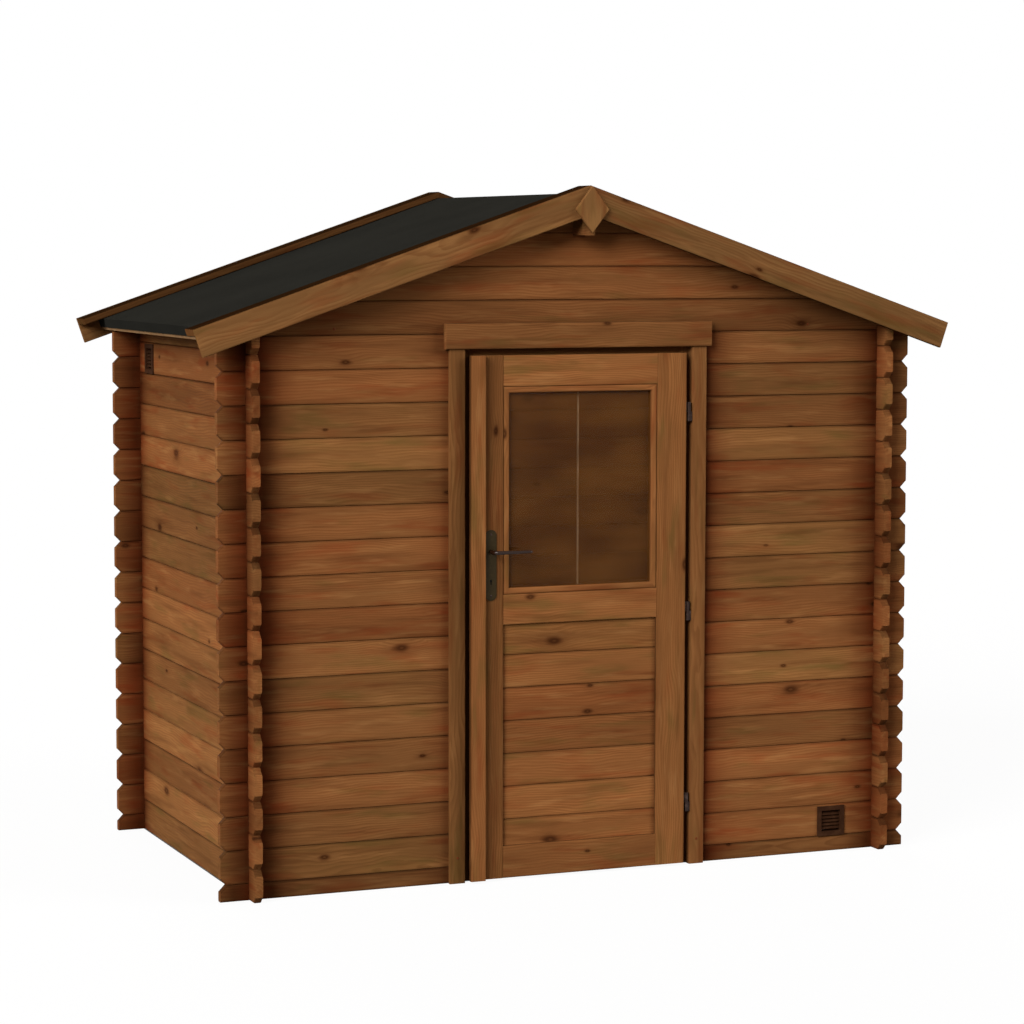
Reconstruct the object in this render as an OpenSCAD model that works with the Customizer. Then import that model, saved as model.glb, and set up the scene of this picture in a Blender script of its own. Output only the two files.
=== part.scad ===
// Wooden garden shed of interlocking wall boards, with a felted ridge roof and a half glazed door.
// Millimetres. X runs along the front, the door faces -Y, Z is up and the ground lies at zero.

/* [Walls] */
// Height that each wall board adds
board_pitch = 114; // [100:1:130]
// Thickness of the wall boards
board_t = 28; // [20:1:36]
// Depth of the bevel along the board edges
board_bevel = 4; // [1:0.5:6]
// Width over the outer faces of the side walls
walls_x = 2388; // [2000:2:3200]
// Depth over the outer faces of the front and back walls
walls_y = 1342; // [1000:2:2400]
// Height of the inner top edge of the side walls above the door frame
eave_h = 108; // [60:1:400]
// Length of the front and back board ends past the side walls
front_ends = 98; // [70:1:110]
// Length of the side board ends past the front and back walls
side_ends = 68; // [50:1:78]
// Chamfer on the corners of the board ends
end_chamfer = 21; // [5:1:26]
// Clearance round each interlocking corner notch
notch_gap = 0.3; // [0.1:0.1:0.6]

/* [Roof] */
// Slope of the roof in degrees
roof_slope = 18.8; // [15:0.1:26]
// Thickness of the roof deck
deck_t = 19; // [12:1:24]
// Width of a roof deck board
deck_board = 96; // [80:1:140]
// Depth of the bevels at the joints below the roof deck
deck_bevel = 3; // [1:0.5:6]
// Thickness of the roofing felt
felt_t = 3; // [2:0.5:5]
// Length of the deck past the side walls, along the slope
eave_out = 109; // [95:1:140]
// Thickness of the strip nailed along the eave
eave_strip_t = 12; // [8:1:20]
// Depth of the strip nailed along the eave
eave_strip_h = 44; // [40:1:55]
// Depth of the felt turned down over the eave strip
felt_turn = 36; // [20:1:40]
// From the front wall to the face of the front barge boards
front_over = 103; // [100:1:200]
// From the back wall to the face of the back barge boards
back_over = 118; // [100:1:200]
// Depth of the barge boards, across the slope
barge_h = 95; // [80:1:130]
// Thickness of the barge boards
barge_t = 18; // [12:1:22]
// Length of the barge boards past the side walls, along the slope
barge_out = 199; // [150:1:260]
// Width of the verge boards that hold the felt down
verge_w = 95; // [60:1:120]
// Thickness of the verge boards
verge_t = 23; // [12:1:26]
// Width of the ridge purlin
purlin_w = 45; // [35:1:60]
// Height of the ridge purlin
purlin_h = 121; // [90:1:140]
// Width of the diamond at the ridge
finial_w = 123; // [80:1:160]
// Height of the diamond at the ridge
finial_h = 161; // [110:1:200]
// Thickness of the diamond at the ridge
finial_t = 15; // [10:1:25]
// Distance of the diamond's tip below the ridge
finial_drop = 1; // [0:0.5:20]
// Clearance between pieces that meet on a slope
seat_gap = 0.2; // [0.1:0.1:0.5]

/* [Door frame] */
// Gap between the door leaf and each jamb
frame_gap = 25; // [20:1:30]
// Gap between the door leaf and the lintel
head_gap = 22; // [10:1:30]
// Width of the jamb's face
jamb_w = 56; // [45:1:80]
// How far the jamb stands proud of each face of the wall
jamb_proud = 17; // [12:1:22]
// Depth of the groove that holds the wall boards
jamb_groove = 27; // [18:1:32]
// Clearance at the bottom of that groove
groove_gap = 0.5; // [0.2:0.1:0.9]
// Width of the door stop
stop_w = 35; // [30:1:45]
// Gap between the closed leaf and its stop
stop_gap = 7; // [5:0.5:10]
// Height of the frame's head above the jambs
head_h = 51; // [30:1:60]
// Height of the lintel board
lintel_h = 88; // [60:1:120]
// Thickness of the lintel board
lintel_t = 25; // [17:1:35]
// Length of the lintel past each jamb
lintel_over = 15; // [0:1:40]
// Height of the threshold bar
threshold_h = 40; // [20:1:60]

/* [Door leaf] */
// Width of the door leaf
leaf_w = 800; // [700:1:900]
// Height of the door leaf
leaf_h = 1800; // [1700:1:1860]
// Thickness of the door leaf
leaf_t = 38; // [34:1:42]
// Height of the leaf above the ground
leaf_lift = 8; // [5:1:20]
// How far the leaf's face stands proud of the wall
leaf_proud = 25; // [18:1:28]
// Width of the stiles
stile_w = 112; // [100:1:140]
// Height of the top rail
top_rail_h = 106; // [80:1:140]
// Height of the middle rail
middle_rail_h = 104; // [80:1:140]
// Height of the middle rail's lower edge above the ground
middle_rail_z = 887; // [700:1:1000]
// Height of the bottom rail
bottom_rail_h = 112; // [80:1:160]
// Thickness of the infill boards
infill_t = 18; // [12:1:20]
// How far the infill lies behind the leaf's face
infill_set = 10; // [6:1:12]
// Height that each infill board adds
infill_pitch = 114; // [80:1:140]
// Height of the uppermost infill board
infill_top = 106; // [60:1:120]
// Depth of the grooves that hold the infill
infill_groove = 10; // [6:1:15]
// Clearance of the infill in its grooves
infill_gap = 0.3; // [0.1:0.1:0.6]
// Thickness of the window pane
pane_t = 4; // [3:0.5:6]
// Width of the beads round the pane
bead_w = 22; // [14:1:30]
// Thickness of the beads round the pane
bead_t = 14; // [10:1:16]
// How far the outer bead lies behind the leaf's face
bead_set = 2; // [0:0.5:4]
// How far the pane's edge stays inside the beads' outer edge
pane_edge = 5; // [2:1:10]
// Width of the strip that closes the gap beside the leaf
strip_w = 54; // [40:1:60]
// Thickness of the closing strip
strip_t = 21; // [12:1:24]
// How far the closing strip reaches past the leaf's edge
strip_over = 14; // [5:1:15]

/* [Hardware] */
// Height of a hinge
hinge_h = 66; // [50:1:100]
// Radius of the hinge barrel
hinge_r = 7; // [6:0.5:8]
// Radius of the hinge pin
hinge_pin_r = 3.5; // [2.5:0.5:4]
// Clearance round the hinge pin
hinge_pin_gap = 0.1; // [0.05:0.01:0.2]
// Gap between the two halves of a hinge
hinge_split = 0.5; // [0.3:0.1:1]
// Thickness of the hinge plates
hinge_plate_t = 2.5; // [2:0.5:3]
// Width of the hinge plates
hinge_plate_w = 28; // [24:1:30]
// Distance of the lowest hinge above the lower edge of the leaf
hinge_low = 216; // [60:1:400]
// Distance of the middle hinge below the middle of the leaf
hinge_middle = 5; // [0:1:100]
// Distance of the highest hinge below the upper edge of the leaf
hinge_high = 205; // [60:1:400]
// Distance of the lever's axis from the leaf's free edge
lever_backset = 65; // [64:1:75]
// Height of the lever's axis
lever_z = 1140; // [1020:1:1250]
// Length of the lever
lever_len = 135; // [90:1:150]
// Radius of the lever at its bend
lever_r = 7.5; // [6:0.5:8]
// Radius of the lever at its tip
lever_tip_r = 5.5; // [4:0.5:7]
// Radius of the bend from the neck to the lever
lever_bend = 16; // [10:1:24]
// Radius of the lever's neck
neck_r = 8; // [8:0.5:10]
// Length of the neck between the lock plate and the lever
neck_len = 44; // [30:1:60]
// Radius of the spindle through the leaf
spindle_r = 5; // [4:0.5:6]
// Clearance round the spindle in the leaf
spindle_gap = 5; // [2:0.5:6]
// Clearance round the neck in the lock plate
neck_gap = 0.2; // [0.1:0.1:0.5]
// Width of the lock plates
lock_plate_w = 40; // [34:1:42]
// Height of the lock plates
lock_plate_h = 243; // [180:1:280]
// Thickness of the lock plates
lock_plate_t = 3; // [2:0.5:4]
// Distance of the lock plate's middle below the lever
lock_plate_drop = 46; // [0:1:60]
// Distance of the keyhole below the lever
keyhole_drop = 100; // [70:1:110]
// Radius of the keyhole
keyhole_r = 4.5; // [3:0.5:6]
// Width of the keyhole's slot
keyhole_slot_w = 4.4; // [3:0.1:6]
// Depth of the keyhole's slot below its middle
keyhole_slot_h = 14; // [8:1:18]

/* [Vents] */
// Width and height of a vent's rim
vent_w = 108; // [80:1:140]
// Width and height of a vent's opening
vent_hole = 76; // [50:1:100]
// Thickness of a vent's rim
vent_rim_t = 5; // [3:0.5:8]
// Wall of the vent's sleeve
vent_sleeve = 3; // [2:0.5:5]
// Clearance of the sleeve in the wall
vent_gap = 0.3; // [0.1:0.1:0.6]
// Slats in a vent
vent_slats = 5; // [3:1:8]
// Thickness of a slat
slat_t = 3; // [2:0.5:4]
// Drop of a slat from back to front
slat_drop = 9; // [4:0.5:12]
// Distance of the front vent from the face of the right wall
front_vent_x = 196; // [90:1:500]
// Height of the middle of the front vent
front_vent_z = 111; // [80:1:1500]
// Distance of the side vent from the face of the back wall
side_vent_y = 164; // [90:1:1200]
// Distance of the side vent below the top of the side wall
side_vent_z = 173; // [90:1:1700]

/* [Hidden] */
$fn = 48;

// Colours
wall_colour = [0.47, 0.29, 0.16];
trim_colour = [0.55, 0.36, 0.2];
door_colour = [0.52, 0.32, 0.17];
felt_colour = [0.15, 0.15, 0.14];
metal_colour = [0.12, 0.1, 0.09];
hinge_colour = [0.35, 0.32, 0.3];
vent_colour = [0.17, 0.1, 0.07];
glass_colour = [0.3, 0.22, 0.14, 0.5];

// Places of the walls: the roof's ends are level with each other either side of the origin
front_y = -(walls_y + back_over - front_over) / 2;
back_y = front_y + walls_y;
side_x = walls_x / 2;
front_end_x = side_x + front_ends;
quarter = board_pitch / 4;
// How far cutting shapes run past what they cut
past = 100;

// Places of the doorway
leaf_x = leaf_w / 2;
leaf_y0 = front_y - leaf_proud;
leaf_y1 = leaf_y0 + leaf_t;
leaf_top = leaf_lift + leaf_h;
jamb_x = leaf_x + frame_gap;
jamb_top = leaf_top + head_gap;
jamb_y0 = front_y - jamb_proud;
jamb_y1 = front_y + board_t + jamb_proud;
jamb_end_x = jamb_x + jamb_w;
groove_x = jamb_end_x - jamb_groove;
stop_x = jamb_x - stop_w;
stop_y = leaf_y1 + stop_gap;
board_stop_x = groove_x + groove_gap;
// The gable starts on top of the door frame's head
gable_z = jamb_top + head_h;

// The roof's underside, which starts at the inner top edge of the side walls
roof_cos = cos(roof_slope);
roof_sin = sin(roof_slope);
eave_z = jamb_top + eave_h;
ridge_z = eave_z + (side_x - board_t) * tan(roof_slope);
function under_z(x) = ridge_z - abs(x) * tan(roof_slope);
// A point of the right roof slope: distance down the slope and height above its underside
function slope_point(down, up) =
    [down * roof_cos + up * roof_sin, ridge_z - down * roof_sin + up * roof_cos];
// A band of the right roof slope between two heights, cut plumb at the ridge and square at its end
function slope_band(low, high, down) = [
    [0, ridge_z + low / roof_cos],
    slope_point(down, low),
    slope_point(down, high),
    [0, ridge_z + high / roof_cos]
];
deck_end = side_x / roof_cos + eave_out;
barge_end = side_x / roof_cos + barge_out;
felt_low = deck_t + seat_gap;
verge_low = felt_low + felt_t;
verge_high = verge_low + verge_t;
strip_start = deck_end + seat_gap;
strip_end = strip_start + eave_strip_t;
felt_end = strip_end + seat_gap;
barge_low = verge_high - barge_h;
roof_y0 = front_y - front_over + barge_t;
roof_y1 = back_y + back_over - barge_t;
purlin_z = ridge_z - purlin_h;
finial_z = ridge_z + verge_high / roof_cos - finial_drop - finial_h / 2;

// Places in the door leaf
rail_x = leaf_x - stile_w;
middle_rail_top = middle_rail_z + middle_rail_h;
top_rail_z = leaf_top - top_rail_h;
bottom_rail_top = leaf_lift + bottom_rail_h;
infill_y0 = leaf_y0 + infill_set;
infill_low = bottom_rail_top - infill_groove;
infill_high = middle_rail_z + infill_groove;
bead_y0 = leaf_y0 + bead_set;
pane_y0 = bead_y0 + bead_t;
bead_y2 = pane_y0 + pane_t;
hinge_x = leaf_x + frame_gap / 2;
hinge_y = jamb_y0;
lever_x = -leaf_x + lever_backset;

// A flat shape in X and Z, carried from one Y to another
module along_y(y0, y1) {
    translate([0, y1, 0]) rotate([90, 0, 0]) linear_extrude(y1 - y0) children();
}

// A flat shape in Y and Z, carried from one X to another
module along_x(x0, x1) {
    translate([x0, 0, 0]) rotate([90, 0, 90]) linear_extrude(x1 - x0) children();
}

// A box between two corners
module box(low, high) {
    translate(low) cube(high - low);
}

// A rectangle between two corners
module rect(low, high) {
    translate(low) square(high - low);
}

// Heights of the board joints up to a top, where the lowest board has the given height
function joints(first, pitch, top) = [for (z = [first:pitch:top]) z];

// Section of a board wall, with a bevelled groove on both faces at each joint
function board_section(face0, face1, low, high, zs, bevel) = concat(
    [[face0, low]],
    [for (z = zs) if (z - bevel > low && z + bevel < high) each
        [[face0, z - bevel], [face0 + bevel, z], [face0, z + bevel]]],
    [[face0, high], [face1, high]],
    [for (i = [len(zs) - 1:-1:0]) let (z = zs[i]) if (z - bevel > low && z + bevel < high) each
        [[face1, z + bevel], [face1 - bevel, z], [face1, z - bevel]]],
    [[face1, low]]
);

// Square notches that chamfer the corners of the board ends at each joint
module end_chamfers(end, zs) {
    for (z = zs) translate([end, z]) rotate(45) square(end_chamfer * sqrt(2), center = true);
}

// Notches that leave room for the crossing boards, whose middle halves stay whole
module corner_notches(from, zs) {
    for (z = zs) rect([from - notch_gap, z - quarter - notch_gap],
        [from + board_t + notch_gap, z + quarter + notch_gap]);
}

front_joints = joints(board_pitch / 2, board_pitch, ridge_z);
side_joints = joints(0, board_pitch, eave_z - board_pitch / 2);
// Boards of one pair of walls are centred on the joints of the other pair
front_board_mids = joints(0, board_pitch, ridge_z);
side_board_mids = joints(board_pitch / 2, board_pitch, eave_z + board_pitch);

// The space below the roof
module under_roof() {
    end_x = front_end_x + past;
    end_z = under_z(end_x) - seat_gap;
    polygon([[-end_x, 0], [end_x, 0], [end_x, end_z], [0, ridge_z - seat_gap], [-end_x, end_z]]);
}

// A stretch of the front or back wall from y0 inwards, between two X and two heights
module gable_wall(y0, x0, x1, low, high) {
    intersection() {
        along_x(x0, x1) polygon(board_section(y0, y0 + board_t, low, high, front_joints, board_bevel));
        along_y(y0 - past, y0 + board_t + past) difference() {
            intersection() {
                rect([x0 - past, low - past], [x1 + past, high + past]);
                under_roof();
            }
            if (x0 <= -front_end_x) {
                end_chamfers(-front_end_x, front_joints);
                corner_notches(-side_x, side_board_mids);
            }
            if (x1 >= front_end_x) {
                end_chamfers(front_end_x, front_joints);
                corner_notches(side_x - board_t, side_board_mids);
            }
            rect([-purlin_w / 2 - notch_gap, purlin_z - notch_gap],
                [purlin_w / 2 + notch_gap, ridge_z + past]);
        }
    }
}

// The left wall, with its top cut to the slope of the roof
module left_board_wall() {
    face0 = -side_x;
    face1 = -side_x + board_t;
    end0 = front_y - side_ends;
    end1 = back_y + side_ends;
    intersection() {
        along_y(end0, end1) intersection() {
            polygon(board_section(face0, face1, 0, ridge_z, side_joints, board_bevel));
            under_roof();
        }
        along_x(face0 - past, face1 + past) difference() {
            rect([end0 - past, -past], [end1 + past, ridge_z]);
            end_chamfers(end0, side_joints);
            end_chamfers(end1, side_joints);
            corner_notches(front_y, front_board_mids);
            corner_notches(back_y - board_t, front_board_mids);
        }
    }
}

// Places of the vents, and the hole in a wall for a vent's sleeve
vent_x = side_x - front_vent_x;
vent_y = back_y - side_vent_y;
vent_z = eave_z - side_vent_z;
vent_cut = vent_hole + 2 * vent_sleeve + 2 * vent_gap;

module front_wall_left() {
    color(wall_colour) gable_wall(front_y, -front_end_x, -board_stop_x, 0, gable_z);
}

module front_wall_right() {
    color(wall_colour) difference() {
        gable_wall(front_y, board_stop_x, front_end_x, 0, gable_z);
        translate([vent_x, front_y + board_t / 2, front_vent_z])
            cube([vent_cut, board_t + past, vent_cut], center = true);
    }
}

module front_gable() {
    color(wall_colour) gable_wall(front_y, -front_end_x, front_end_x, gable_z, ridge_z + past);
}

module back_wall() {
    color(wall_colour) gable_wall(back_y - board_t, -front_end_x, front_end_x, 0, gable_z);
}

module back_gable() {
    color(wall_colour) gable_wall(back_y - board_t, -front_end_x, front_end_x, gable_z, ridge_z + past);
}

module left_wall() {
    color(wall_colour) difference() {
        left_board_wall();
        translate([-side_x + board_t / 2, vent_y, vent_z])
            cube([board_t + past, vent_cut, vent_cut], center = true);
    }
}

module right_wall() {
    color(wall_colour) mirror([1, 0, 0]) left_board_wall();
}

// Section of the right jamb: a grooved post that clasps the wall boards and carries the door stop
module jamb_post() {
    linear_extrude(jamb_top) polygon([
        [jamb_x, jamb_y0], [jamb_end_x, jamb_y0], [jamb_end_x, front_y], [groove_x, front_y],
        [groove_x, front_y + board_t], [jamb_end_x, front_y + board_t], [jamb_end_x, jamb_y1],
        [stop_x, jamb_y1], [stop_x, stop_y], [jamb_x, stop_y]
    ]);
}

module left_door_jamb() {
    color(trim_colour) mirror([1, 0, 0]) jamb_post();
}

module right_door_jamb() {
    color(trim_colour) jamb_post();
}

// The head rests on both jambs, and its lip is the stop above the leaf
module door_head() {
    lip_x = stop_x - groove_gap;
    color(trim_colour) union() {
        box([-groove_x, front_y, jamb_top], [groove_x, jamb_y1, gable_z]);
        box([-lip_x, stop_y, jamb_top - stop_w], [lip_x, jamb_y1, jamb_top]);
    }
}

module door_lintel() {
    lintel_x = jamb_end_x + lintel_over;
    color(trim_colour)
        box([-lintel_x, front_y - lintel_t, jamb_top], [lintel_x, front_y, jamb_top + lintel_h]);
}

module door_threshold() {
    color(trim_colour) box([-stop_x, stop_y, 0], [stop_x, jamb_y1, threshold_h]);
}

module ridge_purlin() {
    half = purlin_w / 2;
    side_top = under_z(half) - seat_gap;
    color(wall_colour) along_y(roof_y0, roof_y1) polygon([
        [-half, purlin_z], [half, purlin_z], [half, side_top], [0, ridge_z - seat_gap], [-half, side_top]
    ]);
}

// The right deck, with a bevelled groove below each joint of its boards
module right_deck() {
    difference() {
        along_y(roof_y0, roof_y1) polygon(slope_band(0, deck_t, deck_end));
        for (y = [roof_y0 + deck_board:deck_board:roof_y1 - deck_bevel]) translate([0, y, ridge_z])
            rotate([0, roof_slope, 0]) along_x(-past, deck_end + past) polygon([
                [-2 * deck_bevel, -deck_bevel], [2 * deck_bevel, -deck_bevel], [0, deck_bevel]
            ]);
    }
}

module left_roof_deck() {
    color(wall_colour) mirror([1, 0, 0]) right_deck();
}

module right_roof_deck() {
    color(wall_colour) right_deck();
}

// Half of the felt, turned down over the eave strip
function felt_half() = [
    [0, ridge_z + felt_low / roof_cos],
    slope_point(felt_end, felt_low),
    slope_point(felt_end, verge_low - felt_turn),
    slope_point(felt_end + felt_t, verge_low - felt_turn),
    slope_point(felt_end + felt_t, verge_low),
    [0, ridge_z + verge_low / roof_cos]
];

module roof_felt() {
    right = felt_half();
    left = [for (i = [len(right) - 2:-1:1]) [-right[i][0], right[i][1]]];
    color(felt_colour) along_y(roof_y0, roof_y1) polygon(concat(right, left));
}

module right_strip() {
    along_y(roof_y0, roof_y1) polygon([
        slope_point(strip_start, deck_t - eave_strip_h),
        slope_point(strip_end, deck_t - eave_strip_h),
        slope_point(strip_end, deck_t),
        slope_point(strip_start, deck_t)
    ]);
}

module left_eave_strip() {
    color(trim_colour) mirror([1, 0, 0]) right_strip();
}

module right_eave_strip() {
    color(trim_colour) right_strip();
}

// A right barge board from one Y to another
module barge(y0) {
    along_y(y0, y0 + barge_t) polygon(slope_band(barge_low, verge_high, barge_end));
}

module front_left_barge() {
    color(trim_colour) mirror([1, 0, 0]) barge(roof_y0 - barge_t);
}

module front_right_barge() {
    color(trim_colour) barge(roof_y0 - barge_t);
}

module back_left_barge() {
    color(trim_colour) mirror([1, 0, 0]) barge(roof_y1);
}

module back_right_barge() {
    color(trim_colour) barge(roof_y1);
}

// A right verge board, which lies on the felt
module verge(y0) {
    along_y(y0, y0 + verge_w) polygon(slope_band(verge_low + seat_gap, verge_high, barge_end));
}

module front_left_verge() {
    color(trim_colour) mirror([1, 0, 0]) verge(roof_y0);
}

module front_right_verge() {
    color(trim_colour) verge(roof_y0);
}

module back_left_verge() {
    color(trim_colour) mirror([1, 0, 0]) verge(roof_y1 - verge_w);
}

module back_right_verge() {
    color(trim_colour) verge(roof_y1 - verge_w);
}

// The diamond that covers the joint of two barge boards
module finial(y0) {
    along_y(y0, y0 + finial_t) translate([0, finial_z]) polygon([
        [0, -finial_h / 2], [finial_w / 2, 0], [0, finial_h / 2], [-finial_w / 2, 0]
    ]);
}

module front_finial() {
    color(trim_colour) finial(roof_y0 - barge_t - finial_t);
}

module back_finial() {
    color(trim_colour) finial(roof_y1 + barge_t);
}

// A square vent that faces -Y: a rim against the wall, a sleeve through it and sloping slats
module vent() {
    half = vent_hole / 2;
    slat_step = vent_hole / (vent_slats + 1);
    sleeve = vent_hole + 2 * vent_sleeve;
    difference() {
        union() {
            box([-vent_w / 2, -vent_rim_t, -vent_w / 2], [vent_w / 2, 0, vent_w / 2]);
            box([-sleeve / 2, -vent_rim_t, -sleeve / 2], [sleeve / 2, board_t, sleeve / 2]);
        }
        box([-half, -vent_rim_t - past, -half], [half, board_t + past, half]);
    }
    for (i = [1:vent_slats]) along_x(-half - vent_sleeve / 2, half + vent_sleeve / 2)
        translate([0, -half + i * slat_step]) polygon([
            [0, -slat_drop / 2], [board_t / 2, slat_drop / 2],
            [board_t / 2, slat_drop / 2 + slat_t], [0, -slat_drop / 2 + slat_t]
        ]);
}

module front_vent() {
    color(vent_colour) translate([vent_x, front_y, front_vent_z]) vent();
}

module side_vent() {
    color(vent_colour) translate([-side_x, vent_y, vent_z]) rotate(-90) vent();
}

hinge_mids = [leaf_lift + hinge_low, leaf_lift + leaf_h / 2 - hinge_middle, leaf_top - hinge_high];
half_barrel = (hinge_h - hinge_split) / 2;
// The pin ends below the cap of the upper half
pin_h = hinge_h - hinge_r;
pin_end_gap = 1;

// The half of a hinge on the frame, with the pin
module frame_hinge_half() {
    plate_x = jamb_x - hinge_plate_t;
    cylinder(r = hinge_r, h = half_barrel);
    cylinder(r = hinge_pin_r, h = pin_h);
    box([0, -hinge_plate_t / 2, 0], [plate_x - hinge_x, hinge_plate_t / 2, half_barrel]);
    box([plate_x - hinge_x, -hinge_plate_t / 2, 0], [jamb_x - hinge_x, hinge_plate_w, half_barrel]);
}

// The half of a hinge on the leaf, bored for the pin
module leaf_hinge_half() {
    plate_x = leaf_x + hinge_plate_t;
    difference() {
        union() {
            cylinder(r = hinge_r, h = half_barrel);
            box([plate_x - hinge_x, -hinge_plate_t / 2, 0], [0, hinge_plate_t / 2, half_barrel]);
        }
        translate([0, 0, -hinge_split])
            cylinder(r = hinge_pin_r + hinge_pin_gap, h = pin_h - half_barrel + pin_end_gap);
    }
    box([leaf_x - hinge_x, -hinge_plate_t / 2, 0], [plate_x - hinge_x, hinge_plate_w, half_barrel]);
}

module frame_hinges() {
    color(hinge_colour) for (z = hinge_mids)
        translate([hinge_x, hinge_y, z - hinge_h / 2]) frame_hinge_half();
}

module door_hinges() {
    color(hinge_colour) for (z = hinge_mids)
        translate([hinge_x, hinge_y, z - hinge_h / 2 + half_barrel + hinge_split]) leaf_hinge_half();
}

// The infill's space in the frame of the leaf, with a clearance all round
module infill_space(gap) {
    box([-rail_x - infill_groove - gap, infill_y0 - gap, infill_low - gap],
        [rail_x + infill_groove + gap, infill_y0 + infill_t + gap, infill_high + gap]);
}

// Hole through the leaf for the lever's spindle
module spindle_hole() {
    translate([lever_x, leaf_y0 - past, lever_z]) rotate([-90, 0, 0])
        cylinder(r = spindle_r + spindle_gap, h = leaf_t + 2 * past);
}

module hinge_stile() {
    color(door_colour) difference() {
        box([rail_x, leaf_y0, leaf_lift], [leaf_x, leaf_y1, leaf_top]);
        infill_space(infill_gap);
    }
}

module latch_stile() {
    color(door_colour) difference() {
        box([-leaf_x, leaf_y0, leaf_lift], [-rail_x, leaf_y1, leaf_top]);
        infill_space(infill_gap);
        spindle_hole();
    }
}

module top_rail() {
    color(door_colour) box([-rail_x, leaf_y0, top_rail_z], [rail_x, leaf_y1, leaf_top]);
}

module middle_rail() {
    color(door_colour) difference() {
        box([-rail_x, leaf_y0, middle_rail_z], [rail_x, leaf_y1, middle_rail_top]);
        infill_space(infill_gap);
    }
}

module bottom_rail() {
    color(door_colour) difference() {
        box([-rail_x, leaf_y0, leaf_lift], [rail_x, leaf_y1, bottom_rail_top]);
        infill_space(infill_gap);
    }
}

module door_infill() {
    infill_x = rail_x + infill_groove;
    down = joints(infill_top, infill_pitch, middle_rail_z - bottom_rail_top);
    zs = [for (i = [len(down) - 1:-1:0]) middle_rail_z - down[i]];
    infill_y1 = infill_y0 + infill_t;
    color(door_colour) along_x(-infill_x, infill_x)
        polygon(board_section(infill_y0, infill_y1, infill_low, infill_high, zs, board_bevel));
}

module window_pane() {
    color(glass_colour) box([-rail_x + pane_edge, pane_y0, middle_rail_top + pane_edge],
        [rail_x - pane_edge, pane_y0 + pane_t, top_rail_z - pane_edge]);
}

// A frame of beads round the pane
module window_bead(y0) {
    along_y(y0, y0 + bead_t) difference() {
        rect([-rail_x, middle_rail_top], [rail_x, top_rail_z]);
        rect([-rail_x + bead_w, middle_rail_top + bead_w], [rail_x - bead_w, top_rail_z - bead_w]);
    }
}

module outer_window_bead() {
    color(door_colour) window_bead(bead_y0);
}

module inner_window_bead() {
    color(door_colour) window_bead(bead_y2);
}

module closing_strip() {
    strip_x = -leaf_x - strip_over;
    color(trim_colour)
        box([strip_x, leaf_y0 - strip_t, leaf_lift], [strip_x + strip_w, leaf_y0, leaf_top]);
}

// A long plate with round ends, bored for the lever's neck and cut for a key
module lock_plate(y0) {
    straight = lock_plate_h - lock_plate_w;
    translate([lever_x, y0 + lock_plate_t, lever_z]) rotate([90, 0, 0]) difference() {
        translate([0, -lock_plate_drop, 0]) union() {
            translate([-lock_plate_w / 2, -straight / 2, 0])
                cube([lock_plate_w, straight, lock_plate_t]);
            for (end = [-1, 1]) translate([0, end * straight / 2, 0])
                cylinder(d = lock_plate_w, h = lock_plate_t);
        }
        translate([0, 0, -past / 2]) cylinder(r = neck_r + neck_gap, h = past);
        translate([0, -keyhole_drop, -past / 2]) union() {
            cylinder(r = keyhole_r, h = past);
            translate([-keyhole_slot_w / 2, -keyhole_slot_h, 0])
                cube([keyhole_slot_w, keyhole_slot_h, past]);
        }
    }
}

module outer_lock_plate() {
    color(metal_colour) lock_plate(leaf_y0 - lock_plate_t);
}

module inner_lock_plate() {
    color(metal_colour) lock_plate(leaf_y1);
}

// A neck along -Y from the leaf, a quarter bend and a lever that tapers along +X
module lever_half() {
    neck_end = lock_plate_t + neck_len - lever_bend;
    taper = lever_len - lever_bend - lever_tip_r;
    rotate([90, 0, 0]) cylinder(r = neck_r, h = neck_end);
    translate([lever_bend, -neck_end, 0]) {
        rotate(180) rotate_extrude(angle = 90) translate([lever_bend, 0]) circle(r = lever_r);
        translate([0, -lever_bend, 0]) {
            rotate([0, 90, 0]) cylinder(r1 = lever_r, r2 = lever_tip_r, h = taper);
            translate([taper, 0, 0]) sphere(r = lever_tip_r);
        }
    }
}

module lever_handle() {
    color(metal_colour) translate([lever_x, 0, lever_z]) union() {
        translate([0, leaf_y0, 0]) lever_half();
        translate([0, leaf_y1, 0]) mirror([0, 1, 0]) lever_half();
        translate([0, leaf_y0, 0]) rotate([-90, 0, 0]) cylinder(r = spindle_r, h = leaf_t);
    }
}

front_wall_left();
front_wall_right();
front_gable();
back_wall();
back_gable();
left_wall();
right_wall();
left_door_jamb();
right_door_jamb();
door_head();
door_lintel();
door_threshold();
ridge_purlin();
left_roof_deck();
right_roof_deck();
roof_felt();
left_eave_strip();
right_eave_strip();
front_left_barge();
front_right_barge();
back_left_barge();
back_right_barge();
front_left_verge();
front_right_verge();
back_left_verge();
back_right_verge();
front_finial();
back_finial();
front_vent();
side_vent();
frame_hinges();
hinge_stile();
latch_stile();
top_rail();
middle_rail();
bottom_rail();
door_infill();
window_pane();
outer_window_bead();
inner_window_bead();
closing_strip();
outer_lock_plate();
inner_lock_plate();
door_hinges();
lever_handle();
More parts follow.
